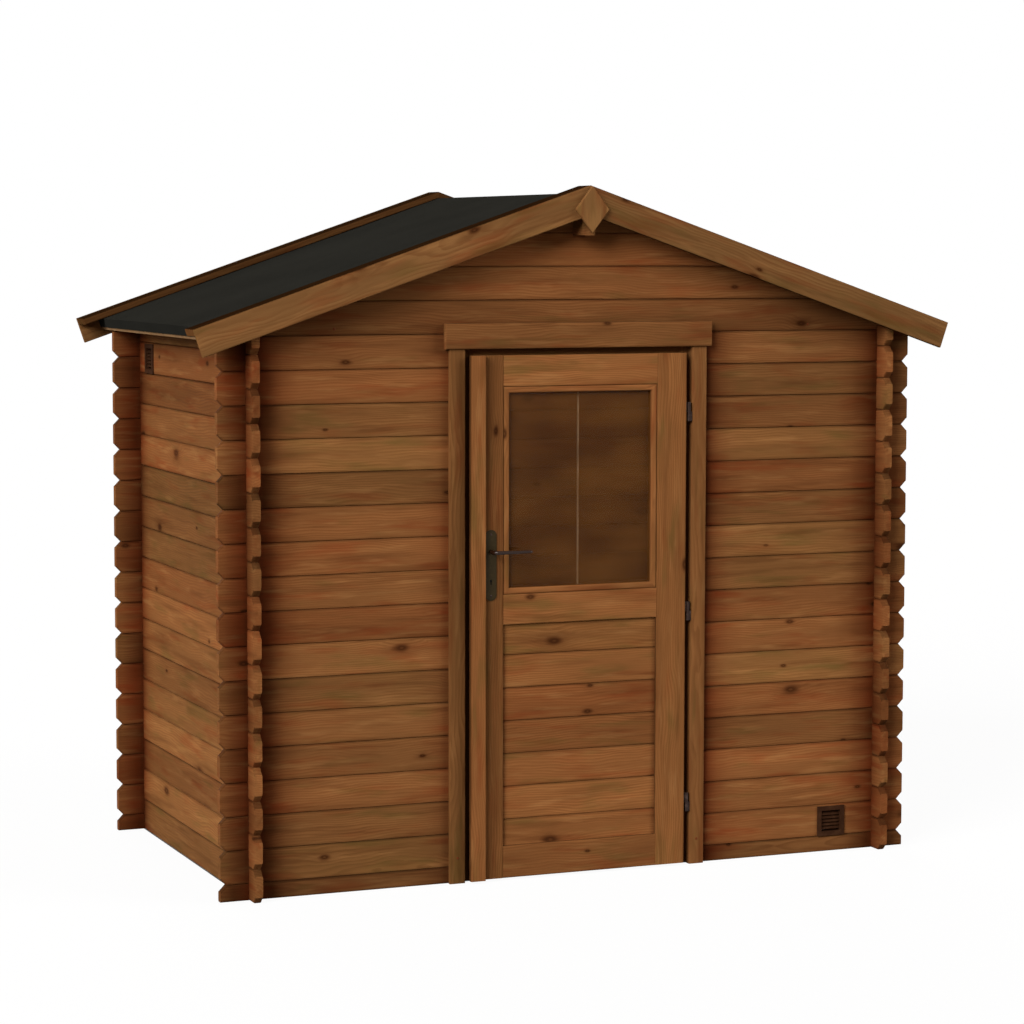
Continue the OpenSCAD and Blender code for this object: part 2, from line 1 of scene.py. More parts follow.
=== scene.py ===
import math
import bmesh
import bpy
import numpy as np
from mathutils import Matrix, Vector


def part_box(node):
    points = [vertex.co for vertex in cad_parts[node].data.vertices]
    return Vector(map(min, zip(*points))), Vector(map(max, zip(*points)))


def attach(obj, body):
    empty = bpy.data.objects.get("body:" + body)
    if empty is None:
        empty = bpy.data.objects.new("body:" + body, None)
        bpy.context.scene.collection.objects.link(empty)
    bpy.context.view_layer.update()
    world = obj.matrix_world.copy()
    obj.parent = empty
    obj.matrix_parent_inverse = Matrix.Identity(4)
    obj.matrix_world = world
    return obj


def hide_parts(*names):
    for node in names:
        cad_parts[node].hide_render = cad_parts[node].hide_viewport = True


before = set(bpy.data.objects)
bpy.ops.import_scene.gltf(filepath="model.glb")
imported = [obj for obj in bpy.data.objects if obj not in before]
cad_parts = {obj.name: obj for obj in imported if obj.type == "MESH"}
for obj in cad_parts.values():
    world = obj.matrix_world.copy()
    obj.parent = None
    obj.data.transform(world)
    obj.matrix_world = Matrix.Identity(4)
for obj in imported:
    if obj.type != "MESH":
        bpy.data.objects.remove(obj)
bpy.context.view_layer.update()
scene = bpy.context.scene
scene.view_settings.view_transform = "Standard"
dice = np.random.default_rng(114)
print("frame loaded:", len(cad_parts), "nodes")

# Camera, where the photograph was taken from
photoView = {
    "place": (-4.0807, -10.0277, 2.1901),
    "turn": 22.289,  # degrees from +Y towards +X
    "tilt": 5.195,  # degrees down
    "roll": -0.084,
    "lens": 104.28,
    "sensor": 36.0,
}


# A new object in the scene
def addObject(name, data):
    thing = bpy.data.objects.new(name, data)
    scene.collection.objects.link(thing)
    return thing


def placeCamera(view):
    camera = addObject("camera", bpy.data.cameras.new("camera"))
    camera.data.lens = view["lens"]
    camera.data.sensor_width = view["sensor"]
    camera.location = view["place"]
    turns = (90 - view["tilt"], view["roll"], -view["turn"])
    camera.rotation_euler = [math.radians(angle) for angle in turns]
    scene.camera = camera


placeCamera(photoView)
print("camera placed")


# Shader sockets
class Wire:
    # a socket of a node tree: arithmetic adds Math nodes, node() any other, feed() links or sets inputs
    def __init__(self, tree, socket=None):
        self.tree = tree
        self.socket = socket

    def node(self, kind, settings=None, sockets=None, out=0):
        made = self.tree.nodes.new("ShaderNode" + kind)
        for name, value in (settings or {}).items():
            setattr(made, name, value)
        self.feed(made, sockets or {})
        if isinstance(out, tuple):
            return [Wire(self.tree, made.outputs[key]) for key in out]
        return Wire(self.tree, made.outputs[out])

    def feed(self, made, sockets):
        for key, value in sockets.items():
            if isinstance(value, Wire):
                self.tree.links.new(value.socket, made.inputs[key])
            else:
                made.inputs[key].default_value = value

    def math(self, operation, *values):
        return self.node("Math", {"operation": operation}, dict(enumerate(values)))

    def __add__(self, other):
        return self.math("ADD", self, other)

    def __sub__(self, other):
        return self.math("SUBTRACT", self, other)

    def __mul__(self, other):
        return self.math("MULTIPLY", self, other)

    def __truediv__(self, other):
        return self.math("DIVIDE", self, other)

    def __pow__(self, other):
        return self.math("POWER", self, other)

    def __rsub__(self, other):
        return self.math("SUBTRACT", other, self)


# Smooth step of a value from 0 at low to 1 at high
def step(wire, low, high):
    return wire.node("MapRange", {"interpolation_type": "SMOOTHSTEP"}, {0: wire, 1: low, 2: high})


# The three numbers of a vector or colour
def split(wire):
    return wire.node("SeparateXYZ", {}, {0: wire}, (0, 1, 2))


# A vector with each of its numbers multiplied
def stretch(wire, factors):
    return wire.node("VectorMath", {"operation": "MULTIPLY"}, {0: wire, 1: factors})


# A colour made lighter or darker by a value
def shade(colour, amount):
    return colour.node("VectorMath", {"operation": "SCALE"}, {0: colour, "Scale": amount})


# Noise from 0 to 1 at a point
def noise(point, scale=1.0, detail=2.0, rough=0.5):
    sockets = {"Vector": point, "Scale": scale, "Detail": detail, "Roughness": rough}
    return point.node("TexNoise", {}, sockets)


# A straight line: the value times a gain, plus a base
def line(wire, gain, base):
    return wire * gain + base


# One colour where the factor is 0 and another where it is 1
def blend(factor, first, second):
    return factor.node("Mix", {"data_type": "RGBA"}, {0: factor, 6: first, 7: second}, 2)


# A screen colour, 0 to 255, as the light it stands for
def paint(red, green, blue):
    levels = np.array([red, green, blue]) / 255
    light = np.where(levels <= 0.04045, levels / 12.92, ((levels + 0.055) / 1.055) ** 2.4)
    return (*light.tolist(), 1.0)


# A material with a Principled shader, and a wire to start its nodes from
def newFinish(name):
    finish = bpy.data.materials.new(name)
    finish.use_nodes = True
    return finish, Wire(finish.node_tree)


# Links or values for the Principled shader's sockets
def dress(finish, sockets):
    tree = finish.node_tree
    Wire(tree).feed(tree.nodes["Principled BSDF"], sockets)


def bump(height, strength, distance):
    return height.node("Bump", {}, {"Strength": strength, "Distance": distance, "Height": height})


# Treated pine
pine = {
    "early": paint(132, 87, 49),
    "late": paint(84, 47, 23),
    "knot": paint(58, 30, 14),
    "red": paint(120, 57, 28),
    "green": paint(92, 74, 35),
    "pale": paint(154, 108, 64),
    "ring": 0.009,  # width of a growth ring, and how much the trunk thickens along a metre
    "taper": 0.006,
    "waves": {  # noises: waves to the metre along and across the grain, scale, detail and roughness
        "wander": (2.6, 7.0, 1.0, 2.0), "ripple": (9.0, 60.0, 1.0, 2.0),
        "fibre": (14.0, 380.0, 1.0, 3.0, 0.6), "blotch": (2.2, 14.0, 1.0, 3.0),
        "streak": (2.6, 36.0, 1.0, 3.0), "gleam": (3.6, 30.0, 1.4, 3.0),
        "red": (2.9, 17.0, 1.3, 2.0), "green": (2.4, 12.0, 1.7, 2.0),
    },
    "moves": {"wander": 0.07, "ripple": 0.005},  # how far two of them move the rings
    "ranges": {"streak": (0.48, 0.75), "gleam": (0.52, 0.75), "red": (0.5, 0.75), "green": (0.5, 0.78)},
    "lateWood": {"start": (0.2, 0.85), "end": (1.0, 0.9), "blotch": (0.25, 0.65)},  # its part of a ring
    "share": {  # how much of each colour shows at most
        "late": 0.38, "red": 0.5, "green": 0.5, "streak": 0.4, "gleam": 0.4,
        "halo": 0.5, "rim": 0.4, "core": 0.8,
    },
    "tone": 0.36,  # how much a board's tone changes its lightness, and what no wood goes below
    "darkest": 0.3,
    "light": {"blotch": (0.9, 0.53), "fibre": (0.24, 0.88)},  # lightness, as gain and base
    "relief": {"late": 0.5, "fibre": 0.7, "core": 0.5},
    "rough": (0.2, 0.6),  # roughness by fibre, and how much smoother late wood is
    "gloss": 0.08,
    "bump": (0.35, 0.0012),
    "knots": {
        "run": 1.9,  # knot places to the metre along a board and across it
        "row": 8.0,
        "seeds": (17.0, 5.0),  # how far a board's seed moves them
        "empty": (0.6, 0.62),  # share of them left empty
        "long": 2.0,  # length of a knot in widths
        "size": (0.009, 0.0045),  # its radius and its unevenness, as gain and base
        "uneven": (1.1, 0.45),
        "core": (1.3, 0.5), "heart": (0.45, 0.1), "rim": (1.9, 1.0), "halo": (5.5, 0.5),  # in radii
        "pale": 0.5,  # how much paler its heart is
        "darkening": (0.7, 0.3),  # how strong its halo is, and how far the rings swell there, in radii
        "swell": 1.6,
    },
    "differ": {"tone": 0.36, "warm": 0.28},  # how far boards differ in lightness and in red or green
    "shift": ((0, 40), (-0.05, 0.05), (0.02, 0.09)),  # a board's place along, beside and before the pith
    "seed": (0, 9),
    "spread": {  # share of those differences in some kinds of board
        "gable": 0.7, "trim": 0.35, "diamond": 0.3, "door": 0.5, "jamb": 0.3, "head": 0.6,
        "bead": 0.4, "bar": 0.2,
    },
    "groove": (1.7, 1.3),  # how much darker the lower and upper edges of a board are: dirt in the joints, and painted shade in the grooves
    "flat": 1.6,  # where its flat faces begin, in radii of the edges
    "narrow": 2.2,  # height in flat starts below which the edges are drawn in
    "shallow": 0.5,  # depth of a wall board's rounded edge as a share of its width
    "ramp": 1.3,  # how soon that edge is at its darkest
    "endGrain": 0.3,  # how much lighter a board's ends are, and the depth that shows it
    "endDepth": 0.001,
}


# Noise drawn out along the grain
def grainNoise(grain, along, across, scale, detail, rough=0.5):
    return noise(stretch(grain, (along, across, across)), scale, detail, rough)


# Growth rings are shells round the pith, whose place the grain attribute holds: ring = fraction of
# (distance from the pith + taper + slow wander + a swell round each knot) / ring width
def woodFinish(name, look, level=1.0, shine=0.01):
    finish, wire = newFinish(name)
    grain = wire.node("Attribute", {"attribute_name": "grain"}, {}, "Vector")
    board = wire.node("Attribute", {"attribute_name": "board"}, {}, "Vector")
    along, across, through = split(grain)
    tone, warm, seed = split(board)
    waves = {key: grainNoise(grain, *values) for key, values in look["waves"].items()}
    masks = {key: step(waves[key], *values) for key, values in look["ranges"].items()}
    ripple, fibre, blotch = (waves[key] for key in ("ripple", "fibre", "blotch"))
    core, rim, halo, swell = knots(look["knots"], along, across, seed, ripple)
    pith = (across * across + through * through) ** 0.5
    moved = waves["wander"] * look["moves"]["wander"] + ripple * look["moves"]["ripple"] + swell
    shell = (pith + along * look["taper"] + moved) / look["ring"]
    ring = shell.math("FRACT", shell)
    part = look["lateWood"]
    late = step(ring, *part["start"]) * step(ring, *part["end"]) * step(blotch, *part["blotch"])
    share = look["share"]
    colour = blend(late * share["late"], look["early"], look["late"])
    colour = blend((masks["red"] + warm) * share["red"], colour, look["red"])
    colour = blend((masks["green"] - warm) * share["green"], colour, look["green"])
    colour = blend(masks["streak"] * share["streak"], colour, look["late"])
    colour = blend(masks["gleam"] * share["gleam"], colour, look["pale"])
    colour = blend(halo * halo * share["halo"] + rim * share["rim"], colour, look["late"])
    colour = blend(core * share["core"], colour, look["knot"])
    light = tone.math("MAXIMUM", tone * look["tone"] + level, look["darkest"])
    amount = light * line(blotch, *look["light"]["blotch"]) * line(fibre, *look["light"]["fibre"])
    relief = look["relief"]
    height = late * relief["late"] + fibre * relief["fibre"] - core * relief["core"]
    dress(finish, {
        "Base Color": shade(colour, amount),
        "Roughness": line(fibre, *look["rough"]) - late * look["gloss"],
        "Specular IOR Level": shine,
        "Normal": bump(height, *look["bump"]),
    })
    return finish


# One knot near each cell centre of a plane of the grain: its dark core, the rim round it, the stained
# wood beyond, and how far it pushes the rings aside
def knots(look, along, across, seed, unevenness):
    cellX = along * look["run"] + seed * look["seeds"][0]
    cellY = across * look["row"] + seed * look["seeds"][1]
    cells = {"Vector": along.node("CombineXYZ", {}, {0: cellX, 1: cellY}), "Scale": 1.0}
    flat = {"voronoi_dimensions": "2D"}
    chance, centre = along.node("TexVoronoi", flat, cells, ("Color", "Position"))
    centreX, centreY = split(centre)[:2]
    odds, size, darkening = split(chance)
    awayX = (cellX - centreX) / (look["run"] * look["long"])
    awayY = (cellY - centreY) / look["row"]
    away = (awayX * awayX + awayY * awayY) ** 0.5
    present = step(odds, *look["empty"])
    radius = line(size * size, *look["size"])
    share = away / radius * line(unevenness, *look["uneven"])
    heart = step(share, *look["heart"]) * look["pale"]
    core = step(share, *look["core"]) * (1 - heart) * present
    rim = step(share, *look["rim"]) * present
    halo = step(share, *look["halo"]) * present * line(darkening, *look["darkening"])
    return core, rim, halo, halo * radius * look["swell"]


stripLook = {**pine, "early": paint(142, 112, 80), "red": paint(132, 94, 62)}
wallWood = woodFinish("wall_boards", pine)
roofWood = woodFinish("roof_boards", pine, level=0.95)
trimWood = woodFinish("roof_trim", {**pine, "early": paint(126, 89, 52)}, level=0.9, shine=0.0)
# a much darker copy of the pine for the verge boards: painted shade
shadedVergeWood = woodFinish("verge_wood_painted_shade", {**pine, "darkest": 0.1}, level=0.42, shine=0.0)
stripWood = woodFinish("eave_wood", stripLook, level=0.95, shine=0.0)
frameWood = woodFinish("frame_wood", pine, level=0.79)
doorWood = woodFinish("door_wood", {**pine, "early": paint(138, 88, 49)}, level=1.05)
print("wood finishes made")


# Roofing felt: mineral granules in dark bitumen
felt = {
    "dark": paint(25, 25, 23),
    "pale": paint(52, 51, 46),
    "granule": 700.0,  # granules and clouds to the metre
    "cloud": 3.0,
    "granuleShare": 0.8,  # how much of the pale colour each brings, and how much is taken off
    "cloudShare": 0.4,
    "less": 0.2,
    "rough": (0.2, 0.75),
    "bump": (0.4, 0.001),
}


def feltFinish(look):
    finish, wire = newFinish("roofing_felt")
    place = wire.node("TexCoord", {}, {}, "Object")
    granules = noise(place, look["granule"], detail=1.0)
    clouds = noise(place, look["cloud"], detail=3.0)
    pale = granules * look["granuleShare"] + clouds * look["cloudShare"] - look["less"]
    dress(finish, {
        "Base Color": blend(pale, look["dark"], look["pale"]),
        "Roughness": line(granules, *look["rough"]),
        "Specular IOR Level": 0.0,
        "Normal": bump(granules + clouds, *look["bump"]),
    })
    return finish


# Metal and plastic: a colour that faint marks turn into a worn one
marked = {
    "metal": {
        "marks": (60.0, 4.0, 0.6),  # scale, detail and roughness of the noise
        "range": (0.5, 0.75), "share": 0.6,  # where the marks begin and are full, and how much shows
        "dull": 0.2,  # how far they spread the roughness
        "grit": 400.0, "bump": (0.1, 0.0004),
    },
    "plastic": {
        "marks": (40.0, 3.0, 0.5),
        "range": (0.4, 0.8), "share": 1.0,
        "dull": 0.15,
        "grit": 900.0, "bump": (0.12, 0.0003),
    },
    "coatRough": 0.12,
}


def markedFinish(name, kind, colours, gloss, metal, shine, coat=0.0):
    look = marked[kind]
    finish, wire = newFinish(name)
    place = wire.node("TexCoord", {}, {}, "Object")
    marks = noise(place, *look["marks"])
    worn = step(marks, *look["range"]) * look["share"]
    dress(finish, {
        "Base Color": blend(worn, *[paint(*colour) for colour in colours]),
        "Metallic": metal,
        "Specular IOR Level": shine,
        "Coat Weight": coat,
        "Coat Roughness": marked["coatRough"],
        "Roughness": line(marks, look["dull"], gloss - look["dull"] / 2),
        "Normal": bump(noise(place, look["grit"]), *look["bump"]),
    })
    return finish


plateColours, leverColours = [(48, 38, 20), (60, 48, 28)], [(36, 18, 8), (50, 30, 16)]
hingeColours, screwColours = [(46, 33, 28), (92, 74, 68)], [(96, 46, 18), (118, 62, 28)]
holeColours, ventColours = [(6, 5, 5), (9, 8, 8)], [(50, 29, 17), (64, 40, 25)]
plateMetal = markedFinish("plate_metal", "metal", plateColours, gloss=0.4, metal=0.1, shine=0.1)
# the lever's dark brown is partly its own colour, partly a painted reflection of the brown wood round it
leverMetal = markedFinish("lever_metal", "metal", leverColours, gloss=0.26, metal=0.15, shine=0.26, coat=0.05)
hingeSteel = markedFinish("hinge_steel", "metal", hingeColours, gloss=0.34, metal=0.7, shine=0.2, coat=0.05)
screwSteel = markedFinish("rusty_screws", "metal", screwColours, gloss=0.5, metal=0.2, shine=0.1)
# near-black for the keyholes: painted shade
holeShade = markedFinish("keyhole_painted_shade", "metal", holeColours, gloss=0.7, metal=0.0, shine=0.1)
ventPlastic = markedFinish("vent_plastic", "plastic", ventColours, gloss=0.575, metal=0.0, shine=0.02)


# Window glass: a brown painted in as the shade of the dark inside behind it, with a thin uneven film
glass = {
    "colour": paint(108, 66, 24),
    "cleaner": paint(76, 41, 11),
    "film": 0.45,
    "waves": (3.0, 3.0, 7.0),  # of the film, to the metre, and where it begins and is full
    "range": (0.3, 0.7),
    "rough": (0.05, 0.04),
    "shine": 0.12,
}


def glassFinish(look):
    finish, wire = newFinish("window_glass")
    place = wire.node("TexCoord", {}, {}, "Object")
    film = step(noise(stretch(place, look["waves"]), detail=4.0), *look["range"])
    dress(finish, {
        "Base Color": blend(film, look["cleaner"], look["colour"]),
        "Alpha": look["film"],
        "Roughness": line(film, *look["rough"]),
        "Specular IOR Level": look["shine"],
    })
    return finish


roofFeltFinish = feltFinish(felt)
windowGlass = glassFinish(glass)
print("felt, metal, plastic and glass finishes made")


# Meshes, whose edges stay sharp above an angle
crease = math.radians(35)


def cornersOf(node):
    low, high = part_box(node)
    return np.array(low), np.array(high)


# A closed outline with its corners rounded by quadratic curves that take at most a share of its sides
def roundLoop(points, radius, steps=2, most=0.45):
    points = np.asarray(points, float)
    ways = [np.roll(points, turn, axis=0) - points for turn in (1, -1)]
    lengths = [np.linalg.norm(way, axis=1, keepdims=True) for way in ways]
    reach = np.minimum(radius, np.minimum(*lengths) * most)
    first, last = ((points + way / size * reach)[:, None] for way, size in zip(ways, lengths))
    t = np.linspace(0, 1, steps + 1)[None, :, None]
    curve = (1 - t) ** 2 * first + 2 * t * (1 - t) * points[:, None] + t**2 * last
    return curve.reshape(-1, 2)


# Quads between neighbouring rings of a grid, and the two rings that close its ends
def ringFaces(count, size):
    rows = np.arange(count - 1)[:, None] * size
    here = np.arange(size)[None, :]
    beside = (here + 1) % size
    quads = np.stack([rows + here, rows + beside, rows + size + beside, rows + size + here], axis=-1)
    caps = [list(range(size))[::-1], list(range((count - 1) * size, count * size))]
    return quads.reshape(-1, 4).tolist() + caps


# How one board differs from the next: lightness, red or green, a seed, and where its pith lies
def newBoard(kind=None, warmth=0.0, darker=0.0):
    spread = pine["spread"].get(kind, 1.0)
    tone = dice.normal(0, pine["differ"]["tone"]) * spread - darker
    warm = dice.normal(warmth, pine["differ"]["warm"]) * spread
    shift = np.array([dice.uniform(*limits) for limits in pine["shift"]])
    return {"board": (tone, warm, dice.uniform(*pine["seed"])), "shift": shift}


# Points round a board: place through it, distance from its lower or upper edge, and which edge
def boardOutline(depth, radius, steps, shallow):
    tall = depth * 4  # any height that keeps the two edges apart
    loop = roundLoop([(0, 0), (depth, 0), (depth, tall), (0, tall)], radius, steps)
    below = np.minimum(loop[:, 0], depth - loop[:, 0]) * shallow
    loop[:, 0] = np.where(loop[:, 0] < depth / 2, below, depth - below)
    flat = radius * pine["flat"]
    half = len(loop) // 2
    far, near = [(depth, flat), (depth, tall - flat)], [(0, tall - flat), (0, flat)]
    loop = np.concatenate([loop[:half], far, loop[half:], near])
    upper = loop[:, 1] > tall / 2
    return loop[:, 0], np.where(upper, tall - loop[:, 1], loop[:, 1]), upper


# A board whose edges follow its stations: point(s, t) = origin + along * (a(s) + slant(s) * b) +
# across * b(s, t) + through * c(t), where b runs round a rounded outline from low(s) to high(s). The
# axes are origin, along, across and through. A groove makes the edges shallow and dark all over, as dirt
# in the joints and painted shade in the grooves
def plank(axes, stations, depth, radius, look, steps=2, groove=None):
    stations = np.array([(*row, 0.0)[:4] for row in stations], float)
    near = stations[[0, -1]] + np.outer((pine["endDepth"], -pine["endDepth"]), (1, 0, 0, 0))
    stations = np.concatenate([stations[:1], near[:1], stations[1:-1], near[1:], stations[-1:]])
    deep, inset, upper = boardOutline(depth, radius, steps, pine["shallow"] if groove else 1.0)
    rim = (1 - inset / radius) * pine["ramp"] if groove else np.minimum(deep, depth - deep) / radius
    low, high = stations[:, 1:2], stations[:, 2:3]
    inset = inset * np.minimum(1, (high - low) / (pine["narrow"] * pine["flat"] * radius))
    b = np.where(upper, high - inset, low + inset)
    a = stations[:, 0:1] + stations[:, 3:4] * b
    part = carried(axes, a, b, np.broadcast_to(deep, b.shape), look)
    edge = np.clip(rim, 0, 1) * np.where(upper, *(groove or pine["groove"])[::-1])
    edge = np.repeat(edge[None], len(b), axis=0)
    edge[[0, -1]] = -pine["endGrain"]
    part["board"] = part["board"] - np.outer(edge, (1, 0, 0))
    return part


# A constant outline in across and through, carried along a board
def moulding(axes, outline, start, end, look):
    outline = np.asarray(outline, float)
    a = np.broadcast_to(np.array([[start], [end]], float), (2, len(outline)))
    b = np.broadcast_to(outline[:, 0], a.shape)
    c = np.broadcast_to(outline[:, 1], a.shape)
    return carried(axes, a, b, c, look)


# Arrays of one part: points, faces, grain coordinates and board values
def carried(axes, a, b, c, look):
    local = np.stack([a, b, c], axis=-1)
    points = (axes[0] + local @ np.stack(axes[1:])).reshape(-1, 3)
    return {
        "points": points,
        "faces": ringFaces(*a.shape),
        "grain": (local + look["shift"]).reshape(-1, 3),
        "board": np.broadcast_to(look["board"], points.shape),
    }


# Arrays of a part from the grids of its points
def gridPart(x, y, z):
    points = np.stack(np.broadcast_arrays(x, y, z), axis=-1)
    return {"points": points.reshape(-1, 3), "faces": ringFaces(*points.shape[:2])}


# Joins parts into one mesh object that rides on a body and stands for the given nodes
def makePiece(name, parts, finish, body, slot, *nodes):
    starts = np.cumsum([0] + [len(part["points"]) for part in parts])
    points = np.concatenate([part["points"] for part in parts])
    faces = [[i + start for i in face] for part, start in zip(parts, starts) for face in part["faces"]]
    mesh = bpy.data.meshes.new(name)
    mesh.from_pydata(points.tolist(), [], faces)
    for key in ("grain", "board"):
        if key in parts[0]:
            values = np.concatenate([part[key] for part in parts]).astype(np.float32)
            mesh.attributes.new(key, "FLOAT_VECTOR", "POINT").data.foreach_set("vector", values.ravel())
    shell = bmesh.new()
    shell.from_mesh(mesh)
    bmesh.ops.recalc_face_normals(shell, faces=shell.faces)
    shell.to_mesh(mesh)
    shell.free()
    mesh.polygons.foreach_set("use_smooth", [True] * len(mesh.polygons))
    mesh.set_sharp_from_angle(angle=crease)
    mesh.materials.append(finish)
    piece = addObject(name, mesh)
    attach(piece, body)
    if nodes:
        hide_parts(*nodes)


# Walls of interlocking boards
walls = {
    "pitch": 0.114,  # height that each board adds
    "gap": 0.0001,  # half of the gap between two boards
    "round": 0.008,  # of the board edges, and how much darker the lower and upper ones are, as dirt in the joints and painted shade in the grooves
    "groove": (0.4, 1.0),
    "chamfer": 0.021,  # on the corners of the board ends
    "wobble": 0.0007,  # how far a board stands in or out of its wall
    "notchGap": 0.0003,
    "slack": 0.001,  # allowed when courses are counted
    "sleeve": 0.0127,  # width of a vent's rim outside the hole for its sleeve
    "darkening": {"darker": 1.6, "redder": 1.1, "reach": 0.06},  # painted shade of the boards in a corner
    "shadeSteps": (0.015, 0.035, 0.06, 0.1, 0.16),
    "corner": {-1: 1.25, 1: 1.0},  # share of the painted shade in the left and right corners of a gable wall,
    "stub": {-1: 0.45, 1: 0.2},  # outside those corners,
    "besideFrame": {-1: 0.5, 1: 1.2},  # and beside each jamb
    "foot": 0.7,  # how much darker the lowest board of a gable wall is
    "slope": math.radians(18.8),  # of the gables and the roof
    "gableTip": 0.004,  # height at which a pointed end is cut off
    "gableDark": (0.05, 0.0, -0.7, -0.7),  # how much darker the gable's boards are, from the lowest up, the upper ones lighter as painted light against the shade under the barge boards, and how much redder
    "gableWarmth": (0.2, 0.6, 0.8, 0.8),  # and how much redder
    "gableFoot": 0.6,  # how much darker the lower half of its lowest board is: painted shade above the lintel
}
frontLow, frontHigh = cornersOf("front_wall_left")
rightLow, rightHigh = cornersOf("front_wall_right")
backLow, backHigh = cornersOf("back_wall")
leftLow, leftHigh = cornersOf("left_wall")
purlinLow, purlinHigh = cornersOf("ridge_purlin")
jambLow, jambHigh = cornersOf("right_door_jamb")
stopLow, stopHigh = cornersOf("door_threshold")
boardDepth = frontHigh[1] - frontLow[1]
sideFace = -leftLow[0]
ridge = purlinHigh[2]
quarter = walls["pitch"] / 4 + walls["notchGap"]
up = (0, 0, 1)


# Stations of a log end from its tip inwards: chamfered corners, then the notch for the crossing board.
# The lowest board of a gable wall is cut only above, and the highest of a side wall has a square corner
def logEnd(tip, inner, low, high, lowest=False, square=False):
    cut = walls["chamfer"]
    inwards = math.copysign(1, inner - tip)
    outer = inner - inwards * (boardDepth + 2 * walls["notchGap"])
    lowCut, lowNotch = (0, 0) if lowest else (cut, quarter)
    rows = [
        (tip, low + lowCut, high if square else high - cut),
        (tip + inwards * cut, low, high),
        (outer - inwards * walls["shadeSteps"][0], low, high),
        (outer, low, high),
        (outer, low + lowNotch, high - quarter),
        (inner, low + lowNotch, high - quarter),
        (inner, low, high),
    ]
    # more stations inwards, over which the painted shade of the corner fades
    return rows + [(inner + inwards * away, low, high) for away in walls["shadeSteps"]]


# Lower and upper edges of the courses of a wall, the lowest of which has its own height
def courses(first, top):
    edges = [0.0] + np.arange(first, top + walls["slack"], walls["pitch"]).tolist()
    return list(zip(edges[:-1], edges[1:]))


# The board's own wobble in and out of its wall
def wobbled(axes):
    return [axes[0] + np.array(axes[3]) * dice.uniform(0, walls["wobble"]), *axes[1:]]


# A board of a wall, with painted shade near each stop: a place along it, and a share of the full painted
# shade
def wallPlank(axes, stations, look, stops=()):
    gap = walls["gap"]
    stations = [(a, low + gap, high - gap) for a, low, high in stations]
    part = plank(axes, stations, boardDepth, walls["round"], look, groove=walls["groove"])
    addPaintedShade(part, axes[1], stops, walls["darkening"])
    return part


# Paints shade on a board where corners and jambs shade it: darkens and reddens it by share * exp(-distance /
# reach) round each stop
def addPaintedShade(part, along, stops, darkening):
    place = part["points"] @ along
    nearness = sum(share * np.exp(-np.abs(place - stop) / darkening["reach"]) for stop, share in stops)
    part["board"] = part["board"] - np.outer(nearness, (1, -darkening["redder"], 0)) * darkening["darker"]


# The parts of one course: a board, or where it has a square hole those left, right, below and above it
def courseParts(axes, stations, low, high, look, stops, hole=None):
    if not hole or not low < hole[2] < high:
        return [wallPlank(axes, stations, look, stops)]
    start, end, bottom, top = hole
    before = [row for row in stations if row[0] < start] + [(start, low, high)]
    behind = [(end, low, high)] + [row for row in stations if row[0] > end]
    rims = [[(start, low, bottom), (end, low, bottom)], [(start, top, high), (end, top, high)]]
    return [wallPlank(axes, rows, look, stops) for rows in [before, behind, *rims]]


# How far from the middle the roof's underside has a height, and its height at a distance
def roofReach(z):
    return (ridge - z) / math.tan(walls["slope"])


def roofHeight(x):
    return ridge - x * math.tan(walls["slope"])


# The front or back wall: its outer face at y, and which way along Y is inwards
def gableWall(y, inwards, doorX, vent):
    axes = [(0, y, 0), (1, 0, 0), up, (0, inwards, 0)]
    tip = rightHigh[0]
    inner = sideFace - boardDepth - walls["notchGap"]
    gableZ = frontHigh[2]
    frameX = jambHigh[0]
    # painted shade in the corners, on the log-end stubs outside them, and beside each jamb
    stops = [(side * sideFace, walls["stub"][side]) for side in (-1, 1)]
    stops += [(side * inner, walls["corner"][side]) for side in (-1, 1)]
    frameRows = [frameX + away for away in (0, *walls["shadeSteps"])]
    parts = []
    for low, high in courses(walls["pitch"] / 2, gableZ):
        lowest = low == 0
        darker = walls["foot"] if lowest else 0
        left = logEnd(-tip, -inner, low, high, lowest)
        right = logEnd(tip, inner, low, high, lowest)[::-1]
        if not doorX:
            parts += courseParts(wobbled(axes), left + right, low, high, newBoard(darker=darker), stops)
            continue
        beside = [(x, low, high) for x in (doorX, *frameRows)]
        for side, rows, hole in ((-1, left + mirrored(beside), None), (1, beside + right, vent)):
            look = newBoard(darker=darker)
            places = [*stops, (side * frameX, walls["besideFrame"][side])]
            parts += courseParts(wobbled(axes), rows, low, high, look, places, hole)
    return parts + gableBoards(axes, gableZ, inner)


